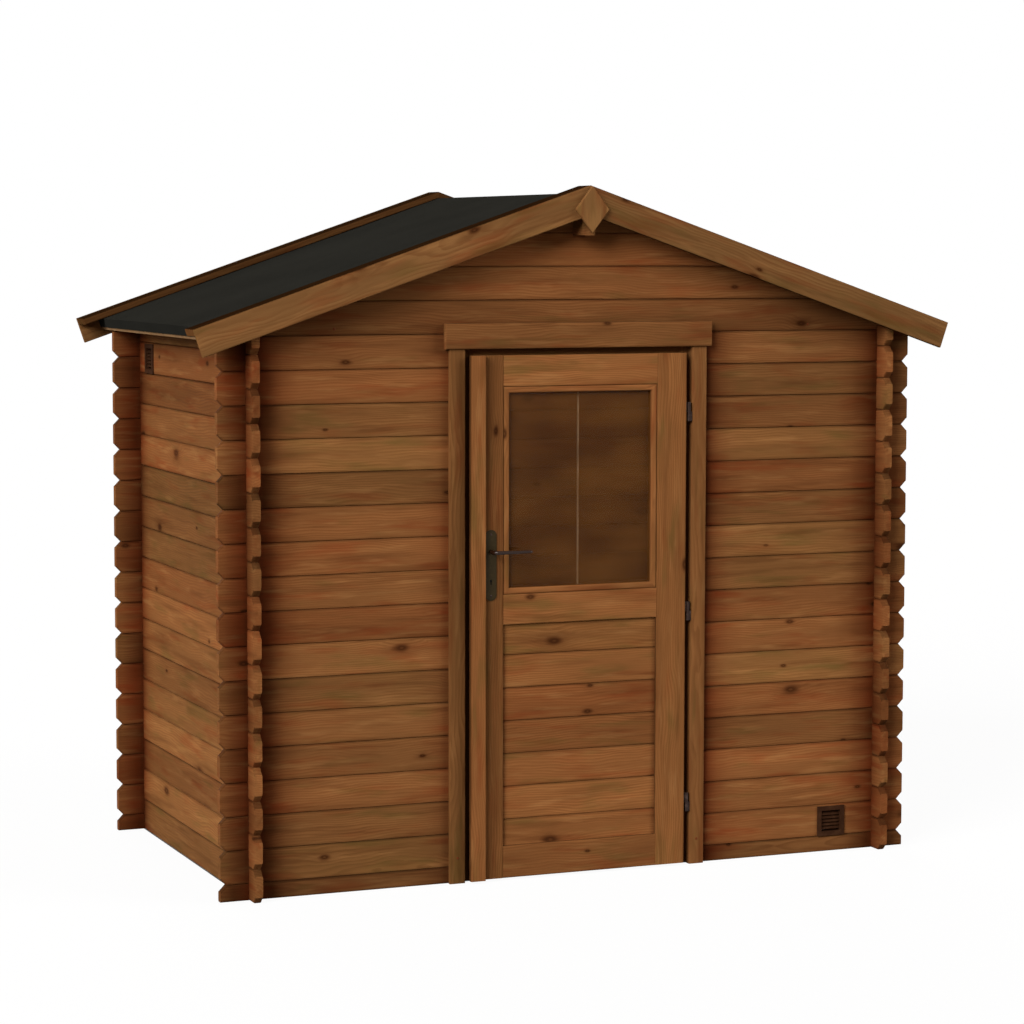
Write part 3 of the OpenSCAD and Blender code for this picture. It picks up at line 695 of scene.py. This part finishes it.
# Boards of the gable, cut to the slope of the roof and round the ridge purlin
def gableBoards(axes, low, inner):
    tip = walls["gableTip"]
    purlinX = purlinHigh[0] + walls["notchGap"]
    purlinZ = purlinLow[2] - walls["notchGap"]
    outer = inner + boardDepth + 2 * walls["notchGap"]
    outerZ, innerZ, purlinTop = (roofHeight(x) for x in (outer, inner, purlinX))
    ends = [(-roofReach(low + tip), low, low + tip), (-outer, low, outerZ), (-outer, low + quarter, outerZ)]
    ends += [(-inner, low + quarter, innerZ), (-inner, low, innerZ)]
    ends = [row for row in ends if abs(row[0]) < rightHigh[0]]
    parts = []
    foot = low + walls["pitch"] / 2
    course = 0
    while low < purlinTop - tip:
        high = min(low + walls["pitch"], purlinTop)
        half = (ends or [(-roofReach(low + tip), low, low + tip)]) + [(-roofReach(high), low, high)]
        ends = []
        if high > purlinZ and roofReach(high) > purlinX + tip:
            half += [(-purlinX, low, high)]
        if high > purlinZ > low:
            half += [(-purlinX, low, purlinZ)]
        for rows in [half + mirrored(half)] if low < purlinZ else [half, mirrored(half)]:
            look = newBoard("gable", walls["gableWarmth"][course], walls["gableDark"][course])
            parts.append(wallPlank(wobbled(axes), rows, look))
        low = high
        course = min(course + 1, len(walls["gableDark"]) - 1)
    # painted shade on the lower half of the lowest gable board, above the lintel
    shaded = parts[0]["points"][:, 2] < foot
    parts[0]["board"] = parts[0]["board"] - np.outer(shaded, (1, 0, 0)) * walls["gableFoot"]
    return parts


def mirrored(stations):
    return [(-a, low, high) for a, low, high in stations[::-1]]


# A side wall: its outer face at x, and which way along X is inwards
def sideWall(x, inwards, vent):
    axes = [(x, 0, 0), (0, 1, 0), up, (inwards, 0, 0)]
    frontTip, backTip = leftLow[1], leftHigh[1]
    frontInner = frontHigh[1] + walls["notchGap"]
    backInner = backLow[1] - walls["notchGap"]
    top = leftHigh[2]
    # painted shade in the corners and on the log-end stubs outside them
    stub = walls["stub"][1]
    stops = [(frontLow[1], stub), (frontInner, 1), (backInner, 1), (backHigh[1], stub)]
    parts = []
    for low, high in courses(walls["pitch"], top):
        last = high > top - walls["pitch"] / 2
        front = logEnd(frontTip, frontInner, low, high, square=last)
        back = logEnd(backTip, backInner, low, high, square=last)[::-1]
        parts += courseParts(wobbled(axes), front + back, low, high, newBoard(), stops, vent)
    return parts


# The hole that a vent's sleeve passes, as start, end, bottom and top along a wall
def ventHole(node, axis):
    low, high = cornersOf(node)
    rim = walls["sleeve"]
    return low[axis] + rim, high[axis] - rim, low[2] + rim, high[2] - rim


frontNodes = ("front_wall_left", "front_wall_right", "front_gable")
for name, parts, nodes in (
    ("front", gableWall(frontLow[1], 1, rightLow[0], ventHole("front_vent", 0)), frontNodes),
    ("back", gableWall(backHigh[1], -1, None, None), ("back_wall", "back_gable")),
    ("left", sideWall(-sideFace, 1, ventHole("side_vent", 1)), ("left_wall",)),
    ("right", sideWall(sideFace, -1, None), ("right_wall",)),
):
    makePiece(name + "_wall_boards", parts, wallWood, "shed", "wall_boards", *nodes)
print("walls built")

# Roof
roofing = {
    "deckBoard": 0.096,  # width of a deck board
    "deckRound": 0.003,
    "deckStart": 0.004,  # clearance of the deck boards at the ridge
    "trimRound": 0.0035,
    "vergeGap": 0.0002,  # between a verge board and the felt
    "vergeDark": {"front": -0.4, "back": 0.3},  # how much darker the verge boards are than their finish, which is itself painted shade: deeper on the back ones, lighter on the front ones
    "feltTurn": 0.036,  # depth of the felt turned down at the eave
    "feltWave": 0.0008,  # height of the felt's unevenness
    "feltWaves": ((9, 5), (-4, 7), (23, 11)),  # its waves along and across the ridge
    "feltFine": 0.4,  # share of the third of them
    "feltRidge": 0.02,  # distance from the ridge without waves
    "feltSteps": 60,
    "diamondDark": -0.4,
    "diamondRound": 0.06,  # share of its half size
    "diamondBevel": 0.003,
}
slopeCos, slopeSin = math.cos(walls["slope"]), math.sin(walls["slope"])
deckLow, deckHigh = cornersOf("right_roof_deck")
deckDepth = (deckHigh[2] - ridge) * slopeCos
deckLength = (deckHigh[0] - deckDepth * slopeSin) / slopeCos


# The directions down a roof slope and up from it
def slopeWays(side):
    return (side * slopeCos, 0, -slopeSin), (side * slopeSin, 0, slopeCos)


# Boards side by side along the ridge, each from the ridge to the eave
def deckBoards(side):
    last = deckHigh[1] - roofing["deckRound"]
    edges = [*np.arange(deckLow[1], last, roofing["deckBoard"]), deckHigh[1]]
    down, rising = slopeWays(side)
    axes = [(0, 0, ridge), down, (0, 1, 0), rising]
    gap = walls["gap"]
    parts = []
    for first, last in zip(edges[:-1], edges[1:]):
        rows = [(place, first + gap, last - gap) for place in (roofing["deckStart"], deckLength)]
        parts.append(plank(axes, rows, deckDepth, roofing["deckRound"], newBoard()))
    return parts


for side, hand in ((-1, "left"), (1, "right")):
    deck = hand + "_roof_deck"
    makePiece(hand + "_deck_boards", deckBoards(side), roofWood, "shed", "roof_boards", deck)


# A board that lies along a slope in its own plane: axes down the slope, up from it and along Y
def slopePlank(node, side, low, high, start, end, darker=0.0):
    boxLow, boxHigh = cornersOf(node)
    axes = [(0, boxLow[1], ridge), *slopeWays(side), (0, 1, 0)]
    slant = -slopeSin / slopeCos  # plumb cut at the ridge
    rows = [(start, low, high, slant if start == 0 else 0), (end, low, high, 0)]
    look = newBoard("trim", 0, darker)
    return plank(axes, rows, boxHigh[1] - boxLow[1], roofing["trimRound"], look)


eaveLow, eaveHigh = cornersOf("right_eave_strip")
bargeLow, bargeHigh = cornersOf("front_right_barge")
feltLow, feltHigh = cornersOf("roof_felt")
topRise = (bargeHigh[2] - ridge) * slopeCos  # of the barge and verge boards above the underside
feltRise = (feltHigh[2] - ridge) * slopeCos
bargeEnd = (bargeHigh[0] - topRise * slopeSin) / slopeCos
bargeDepth = topRise - (bargeLow[2] + bargeEnd * slopeSin - ridge) / slopeCos
stripEnd = (eaveHigh[0] - deckDepth * slopeSin) / slopeCos
stripDrop = deckDepth - (eaveLow[2] + stripEnd * slopeSin - ridge) / slopeCos
for side, hand in ((-1, "left"), (1, "right")):
    for end in ("front", "back"):
        barge = f"{end}_{hand}_barge"
        part = slopePlank(barge, side, topRise - bargeDepth, topRise, 0, bargeEnd)
        makePiece(barge + "_board", [part], trimWood, "shed", "roof_trim", barge)
        verge = f"{end}_{hand}_verge"
        darker = roofing["vergeDark"][end]
        part = slopePlank(verge, side, feltRise + roofing["vergeGap"], topRise, 0, bargeEnd, darker)
        makePiece(verge + "_board", [part], shadedVergeWood, "shed", "roof_trim", verge)
    strip = f"{hand}_eave_strip"
    part = slopePlank(strip, side, deckDepth - stripDrop, deckDepth, deckLength, stripEnd)
    makePiece(strip + "_board", [part], stripWood, "shed", "roof_trim", strip)


# The purlin: a beam with its top cut to both slopes
def purlinBeam():
    half = purlinHigh[0]
    side = ridge - half * slopeSin / slopeCos
    outline = [(-half, purlinLow[2]), (half, purlinLow[2]), (half, side), (0, ridge), (-half, side)]
    outline = roundLoop(outline, roofing["trimRound"])
    axes = [(0, 0, 0), (0, 1, 0), (1, 0, 0), up]
    return moulding(axes, outline, purlinLow[1], purlinHigh[1], newBoard())


makePiece("ridge_purlin_beam", [purlinBeam()], roofWood, "shed", "roof_boards", "ridge_purlin")


# A diamond with rounded corners and a bevelled edge, its grain upright
def diamond(node):
    low, high = cornersOf(node)
    middle = (low + high) / 2
    half = (high - low) / 2
    bevel = roofing["diamondBevel"]
    loop = roundLoop([(-1, 0), (0, -1), (1, 0), (0, 1)], roofing["diamondRound"])
    depths = np.array([low[1], low[1] + bevel, high[1] - bevel, high[1]])
    sizes = np.array([1 - bevel / half[0], 1, 1, 1 - bevel / half[0]])
    x = middle[0] + sizes[:, None] * loop[:, 0] * half[0]
    z = middle[2] + sizes[:, None] * loop[:, 1] * half[2]
    y = np.broadcast_to(depths[:, None], x.shape)
    axes = [(0, 0, 0), up, (1, 0, 0), (0, 1, 0)]
    return carried(axes, z, x, y, newBoard("diamond", 0, roofing["diamondDark"]))


for end in ("front", "back"):
    finial = end + "_finial"
    makePiece(end + "_diamond", [diamond(finial)], trimWood, "shed", "roof_trim", finial)


# Felt: a sheet from eave to eave over the ridge, turned down at both ends, whose top dips below its
# solid by height * (1 + fine - (wave one * wave two + fine * wave three))
def feltSheet():
    steps = roofing["feltSteps"]
    eave = (feltHigh[0] - feltRise * slopeSin) / slopeCos
    inner = eave - (feltRise - deckDepth)
    hem = feltRise - roofing["feltTurn"]
    down = np.array([*np.linspace(0, eave, steps), eave, inner, inner, 0])
    rise = np.array([feltRise] * steps + [hem, hem, deckDepth, deckDepth])
    top = np.arange(len(down)) < steps
    x = down * slopeCos + rise * slopeSin
    z = ridge - down * slopeSin + rise * slopeCos
    x[down == 0], z[down == 0] = 0, ridge + rise[down == 0] / slopeCos
    loopX = np.concatenate([x, -x[-2:0:-1]])
    loopZ = np.concatenate([z, z[-2:0:-1]])
    loopTop = np.concatenate([top, top[-2:0:-1]])
    y = np.linspace(feltLow[1], feltHigh[1], steps)[:, None]
    fine = roofing["feltFine"]
    waves = [np.sin(y * long + loopX * cross) for long, cross in roofing["feltWaves"]]
    wave = waves[0] * waves[1] + waves[2] * fine - (1 + fine)
    dip = np.where(loopTop & (np.abs(loopX) > roofing["feltRidge"]), wave * roofing["feltWave"], 0)
    return gridPart(loopX, y, loopZ + dip)


makePiece("felt_sheet", [feltSheet()], roofFeltFinish, "shed", "roofing_felt", "roof_felt")
print("roof built")

# Doorway
doorway = {
    "face": 0.056,  # width of a jamb in front, and how deep its groove lies
    "groove": 0.027,
    "round": 0.003,
    "lintelRound": 0.006,
    "lipGap": 0.0005,  # between the head's lip and each jamb
    "darker": {-1: -0.05, 1: 0.0},  # how much darker each jamb is than its finish
}


# A box-shaped board that fills a node's box, with its grain along one axis
def boxPlank(node, grainAxis, widthAxis, radius, darker=0.0):
    look = newBoard("door", 0, darker)
    return boxBoard(*cornersOf(node), grainAxis, widthAxis, radius, look)


def boxBoard(low, high, grainAxis, widthAxis, radius, look):
    depthAxis = 3 - grainAxis - widthAxis
    eye = np.eye(3)
    axes = [eye[depthAxis] * low[depthAxis], eye[grainAxis], eye[widthAxis], eye[depthAxis]]
    rows = [(a, low[widthAxis], high[widthAxis]) for a in (low[grainAxis], high[grainAxis])]
    return plank(axes, rows, high[depthAxis] - low[depthAxis], radius, look)


# A jamb: a post grooved for the wall boards, with a rebate for the leaf
def jambPost(side):
    low, high = jambLow, jambHigh
    face = high[0] - doorway["face"]
    groove = high[0] - doorway["groove"]
    outline = [
        (face, low[1]), (high[0], low[1]), (high[0], frontLow[1]), (groove, frontLow[1]),
        (groove, frontHigh[1]), (high[0], frontHigh[1]), (high[0], high[1]),
        (low[0], high[1]), (low[0], stopLow[1]), (face, stopLow[1]),
    ]
    outline = roundLoop(outline, doorway["round"])
    axes = [(0, 0, 0), up, (side, 0, 0), (0, 1, 0)]
    look = newBoard("jamb", 0, doorway["darker"][side])
    return moulding(axes, outline, low[2], high[2], look)


for side, hand in ((-1, "left"), (1, "right")):
    makePiece(hand + "_jamb_post", [jambPost(side)], frameWood, "shed", "frame_wood", hand + "_door_jamb")
lintel = boxPlank("door_lintel", 0, 2, doorway["lintelRound"])
makePiece("lintel_board", [lintel], frameWood, "shed", "frame_wood", "door_lintel")
threshold = boxPlank("door_threshold", 0, 1, doorway["round"])
makePiece("threshold_bar", [threshold], frameWood, "shed", "frame_wood", "door_threshold")


# The head: a block between the jambs, with a lip below it that the leaf meets
def headBlock():
    low, high = cornersOf("door_head")
    jambTop = jambHigh[2]
    lipX = stopHigh[0] - doorway["lipGap"]
    look = newBoard("head")
    boxes = [((low[0], low[1], jambTop), high), ((-lipX, stopLow[1], low[2]), (lipX, high[1], jambTop))]
    return [boxBoard(first, last, 0, 2, doorway["round"], look) for first, last in boxes]


makePiece("frame_head", headBlock(), frameWood, "shed", "frame_wood", "door_head")
print("doorway built")

# Door leaf
leaf = {
    "round": 0.0035,
    "infill": 0.114,  # height of a panel board, and of the highest one below the middle rail
    "infillTop": 0.106,
    "infillLeast": 0.02,  # no joint lies nearer to the panel's foot
    "infillRound": 0.0075,
    "darkening": {"darker": 1.0, "redder": 0.4, "reach": 0.007},  # painted shade of the infill beside the stiles
    "shadeSteps": (0.004, 0.01, 0.02),
    "bead": 0.022,  # width of the beads round the pane
    "beadRound": 0.005,
    "darker": {  # how much darker its boards are than their finish
        # the latch stile is darker partly as painted shade from the closing strip beside it
        "hinge_stile": 0.25, "latch_stile": 0.8, "closing_strip": 0.1,
        "top_rail": -0.3, "middle_rail": -0.2, "bottom_rail": 0.5,
    },
}
for node, darker in leaf["darker"].items():
    grainAxis, widthAxis = (0, 2) if node.endswith("rail") else (2, 0)
    part = boxPlank(node, grainAxis, widthAxis, leaf["round"], darker)
    makePiece(node + "_board", [part], doorWood, "door", "door_wood", node)


# Boards of the lower panel, laid like the wall boards
def infillBoards():
    low, high = cornersOf("door_infill")
    top = cornersOf("middle_rail")[0][2]
    joints = np.arange(top - leaf["infillTop"], low[2] + leaf["infillLeast"], -leaf["infill"])[::-1]
    edges = [low[2], *joints.tolist(), high[2]]
    gap = walls["gap"]
    axes = [(0, low[1], 0), (1, 0, 0), up, (0, 1, 0)]
    left, right = cornersOf("latch_stile")[1][0], cornersOf("hinge_stile")[0][0]
    away = (0, *leaf["shadeSteps"])
    places = [low[0], *[left + a for a in away], *[right - a for a in away[::-1]], high[0]]
    parts = []
    for bottom, upper in zip(edges[:-1], edges[1:]):
        rows = [(place, bottom + gap, upper - gap) for place in places]
        part = plank(axes, rows, high[1] - low[1], leaf["infillRound"], newBoard(), groove=walls["groove"])
        # painted shade where the stiles shade the panel
        addPaintedShade(part, axes[1], [(left, 1), (right, 1)], leaf["darkening"])
        parts.append(part)
    return parts


makePiece("infill_boards", infillBoards(), doorWood, "door", "door_wood", "door_infill")


# Four mitred beads round the pane
def beadFrame(node):
    low, high = cornersOf(node)
    middle = (low + high) / 2
    half = (high - low) / 2
    parts = []
    for turn in range(4):
        long, wide = (half[0], half[2]) if turn % 2 == 0 else (half[2], half[0])
        angle = turn * math.pi / 2
        along = np.round((math.cos(angle), 0, math.sin(angle)))
        across = np.round((-math.sin(angle), 0, math.cos(angle)))
        origin = np.array((middle[0], low[1], middle[2])) - across * wide
        rows = [(-long, 0, leaf["bead"], 1), (long, 0, leaf["bead"], -1)]
        axes = [origin, along, across, (0, 1, 0)]
        parts.append(plank(axes, rows, high[1] - low[1], leaf["beadRound"], newBoard("bead"), steps=3))
    return parts


for where in ("outer", "inner"):
    bead = where + "_window_bead"
    makePiece(where + "_bead_frame", beadFrame(bead), doorWood, "door", "door_wood", bead)
print("door leaf built")

# Window bar, a thin upright flush with the inner beads
windowBar = {
    "width": 0.0055,
    "depth": 0.007,
    "round": 0.001,
    "colour": paint(225, 200, 160),
    "level": 1.3,
    "empty": (0.98, 1.0),  # share of the knot places left empty
}


def glazingBar(look):
    low, high = cornersOf("inner_window_bead")
    half = look["width"] / 2
    first = (-half, high[1] - look["depth"], low[2] + leaf["bead"])
    last = (half, high[1], high[2] - leaf["bead"])
    return boxBoard(first, last, 2, 0, look["round"], newBoard("bar"))


barLook = {**pine, "early": windowBar["colour"], "knots": {**pine["knots"], "empty": windowBar["empty"]}}
barWood = woodFinish("window_bar", barLook, windowBar["level"])
makePiece("window_bar", [glazingBar(windowBar)], barWood, "door", "door_wood")
print("window bar built")

# Lever and lock
lever = {
    "steps": 14,
    "sides": 24,
    "neck": 0.0078,  # radius of the neck, then half sizes of the bar
    "thick": 0.0052,
    "tall": 0.0068,
    "bend": 0.016,
    "taper": 0.3,  # share by which the bar thins
    "tip": 0.008,  # length of its round tip, and the share of it where the point is closed
    "point": 0.004,
    "clear": 0.0075,  # from the bar's middle to the outside of the solid's box
}
fastener = {
    "sides": 16,
    "rings": 5,
    "dome": math.pi / 2 * 0.9,  # how far the dome of a screw head closes
    "jamb": {"radius": 0.0045, "rise": 0.0015, "height": 0.089},
    "gable": {"radius": 0.005, "rise": 0.0015, "height": 1.9025, "aside": 0.886},
    "plate": {"radius": 0.004, "rise": 0.0012, "inset": 0.016},
    "keyhole": {"radius": 0.0045, "slot": 0.0022, "foot": 0.014, "drop": 0.1, "proud": 0.0003},
}


# A bent bar: a neck straight out of the leaf, a quarter turn, then a bar that thins to a round tip.
# point(s, t) = path(s) + aside(s) * thick(s) * cos t + up * tall(s) * sin t
def leverHalf(start, outwards, out, reach):
    bend = lever["bend"]
    turn = np.linspace(0, math.pi / 2, lever["steps"])
    run = 1 - (1 - np.linspace(0, 1, lever["steps"] * 2)[1:]) ** 2
    level = np.full(run.shape, out)
    x = np.concatenate([[0], bend - bend * np.cos(turn), bend + (reach - bend) * run])
    depth = np.concatenate([[0], out - bend + bend * np.sin(turn), level])
    heading = np.concatenate([[0], turn, np.full(run.shape, math.pi / 2)])[:, None]
    share = np.concatenate([[0], 0 * turn, run])
    left = np.clip((1 - share) * (reach - bend) / lever["tip"], lever["point"], 1)
    slim = (1 - lever["taper"] * share) * np.sqrt(left * (2 - left))
    change = np.sin(heading[:, 0])
    neck = lever["neck"]
    thick, tall = ((neck + (lever[key] - neck) * change) * slim for key in ("thick", "tall"))
    t = np.linspace(0, 2 * math.pi, lever["sides"], endpoint=False)
    aside = thick[:, None] * np.cos(t)
    return gridPart(
        start[0] + x[:, None] + np.cos(heading) * aside,
        start[1] + outwards * (depth[:, None] - np.sin(heading) * aside),
        start[2] + tall[:, None] * np.sin(t),
    )


# A domed head that faces -Y: rings of radius * cos(s) that rise by rise * sin(s)
def screwHead(place, look):
    bow = np.linspace(0, fastener["dome"], fastener["rings"])[:, None]
    t = np.linspace(0, 2 * math.pi, fastener["sides"], endpoint=False)
    ring = look["radius"] * np.cos(bow)
    rise = look["rise"] * np.sin(bow)
    return gridPart(place[0] + ring * np.cos(t), place[1] - rise, place[2] + ring * np.sin(t))


# Painted shade of a plate's keyhole: a near-black sheet just proud of the plate, with a round top and a
# straight foot
def keyhole(place, outwards):
    look = fastener["keyhole"]
    dip = math.asin(look["slot"] / look["radius"])
    t = np.linspace(dip - math.pi / 2, 1.5 * math.pi - dip, fastener["sides"])
    arc = look["radius"] * np.stack([np.cos(t), np.sin(t)], axis=-1)
    foot = [(-look["slot"], -look["foot"]), (look["slot"], -look["foot"])]
    outline = np.concatenate([arc, foot]) + (place[0], place[2])
    depths = np.array([[place[1]], [place[1] + outwards * look["proud"]]])
    return gridPart(outline[:, 0], depths, outline[:, 1])


leverLow, leverHigh = cornersOf("lever_handle")
plateLow, plateHigh = cornersOf("outer_lock_plate")
innerLow = cornersOf("inner_lock_plate")[0]
plateX = (plateLow[0] + plateHigh[0]) / 2
leverZ = (leverLow[2] + leverHigh[2]) / 2
leverReach = leverHigh[0] - plateX
plateFaces = (  # their places, which way is outwards, and how far the lever stands out
    (plateHigh[1], -1, plateHigh[1] - leverLow[1]),
    (innerLow[1], 1, leverHigh[1] - innerLow[1]),
)
leverParts = []
keyhole_shades = []
for y, outwards, out in plateFaces:
    leverParts.append(leverHalf((plateX, y, leverZ), outwards, out - lever["clear"], leverReach))
    keyhole_shades.append(keyhole((plateX, y, leverZ - fastener["keyhole"]["drop"]), outwards))
makePiece("lever_bar", leverParts, leverMetal, "lever", "dark_metal", "lever_handle")
plateEnds = (plateLow[2] + fastener["plate"]["inset"], plateHigh[2] - fastener["plate"]["inset"])
plateScrews = [screwHead((plateX, plateLow[1], z), fastener["plate"]) for z in plateEnds]
makePiece("plate_screws", plateScrews, hingeSteel, "door", "dark_metal")
makePiece("keyhole_shades", keyhole_shades, holeShade, "door", "dark_metal")
jamb, gable = fastener["jamb"], fastener["gable"]
jambX = jambHigh[0] - doorway["face"] / 2
gableY = frontLow[1] + walls["wobble"]
screws = [screwHead((side * jambX, jambLow[1], jamb["height"]), jamb) for side in (-1, 1)]
screws += [screwHead((side * gable["aside"], gableY, gable["height"]), gable) for side in (-1, 1)]
makePiece("frame_screws", screws, screwSteel, "shed", "hinge_steel")
print("lever, keyholes and screws built")

# Parts whose solids show as they are
shown = {
    "window_pane": windowGlass,
    "outer_lock_plate": plateMetal,
    "inner_lock_plate": plateMetal,
    "frame_hinges": hingeSteel,
    "door_hinges": hingeSteel,
    "front_vent": ventPlastic,
    "side_vent": ventPlastic,
}
for node, finish in shown.items():
    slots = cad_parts[node].data.materials
    slots.clear()
    slots.append(finish)
print("hardware dressed")

# Stage: floor, world and lamps
stage = {
    "floor": 60.0,
    "level": -0.001,
    "pale": (0.18, 0.18, 0.18, 1.0),
    "rough": 0.9,
    "glow": 0.7,  # share of the floor's own white where it is seen outside the shed
    "glowPower": 1.35,
    "sky": 0.14,
    "skyColour": (1.0, 0.8, 0.6, 1.0),
    "left": {"turn": -57.0, "rise": 26.0, "power": 3.85, "spread": 36.0},
    "right": {"turn": 60.0, "rise": 24.0, "power": 1.6, "spread": 30.0},
    "back": {"turn": 172.0, "rise": 25.0, "power": 1.3, "spread": 40.0},
    "inside": {"place": (0.0, 0.1, 1.75), "power": 7.0, "radius": 0.25},
}


# One where a ray comes from the camera, a mirror or glass
def seenRay(wire):
    kinds = ("Is Camera Ray", "Is Glossy Ray", "Is Transmission Ray")
    camera, glossy, through = wire.node("LightPath", {}, {}, kinds)
    return wire.math("MAXIMUM", wire.math("MAXIMUM", camera, glossy), through)


def makeWorld():
    world = bpy.data.worlds.new("studio")
    world.use_nodes = True
    scene.world = world
    wire = Wire(world.node_tree)
    seen = seenRay(wire)
    wire.feed(world.node_tree.nodes["Background"], {
        "Color": blend(seen, stage["skyColour"], (1, 1, 1, 1)),
        "Strength": line(seen, 1 - stage["sky"], stage["sky"]),
    })


def makeFloor():
    half = stage["floor"] / 2
    corners = [(x * half, y * half, stage["level"]) for x, y in ((-1, -1), (1, -1), (1, 1), (-1, 1))]
    mesh = bpy.data.meshes.new("floor")
    mesh.from_pydata(corners, [], [(0, 1, 2, 3)])
    finish, wire = newFinish("pale_floor")
    dress(finish, {"Base Color": stage["pale"], "Roughness": stage["rough"], "Specular IOR Level": 0.0})
    nodes = finish.node_tree.nodes
    x, y = split(wire.node("TexCoord", {}, {}, "Object"))[:2]
    outX = x.math("GREATER_THAN", x.math("ABSOLUTE", x), sideFace)
    outY = y.math("GREATER_THAN", y.math("ABSOLUTE", y), backHigh[1])
    glow = seenRay(wire) * x.math("MAXIMUM", outX, outY) * stage["glow"]
    white = wire.node("Emission", {}, {"Color": (1, 1, 1, 1), "Strength": stage["glowPower"]})
    matt = Wire(finish.node_tree, nodes["Principled BSDF"].outputs[0])
    mixed = wire.node("MixShader", {}, {0: glow, 1: matt, 2: white})
    wire.feed(nodes["Material Output"], {"Surface": mixed})
    mesh.materials.append(finish)
    addObject("floor", mesh)


# A soft lamp far away: degrees from the front of the shed towards +X, and above the ground
def makeLamp(name, look):
    lamp = bpy.data.lights.new(name, "SUN")
    lamp.energy = look["power"]
    lamp.angle = math.radians(look["spread"])
    holder = addObject(name, lamp)
    holder.rotation_euler = (math.radians(90 - look["rise"]), 0, math.radians(look["turn"]))


# A faint lamp under the roof, so that the inside shows through the door and the window
def makeInnerLamp(look):
    lamp = bpy.data.lights.new("inner_lamp", "POINT")
    lamp.energy = look["power"]
    lamp.shadow_soft_size = look["radius"]
    holder = addObject("inner_lamp", lamp)
    holder.location = look["place"]
    holder.visible_camera = False
    holder.visible_glossy = False
    holder.visible_transmission = False


makeWorld()
makeFloor()
for side in ("left", "right", "back"):
    makeLamp(side + "_lamp", stage[side])
makeInnerLamp(stage["inside"])
print("stage set")
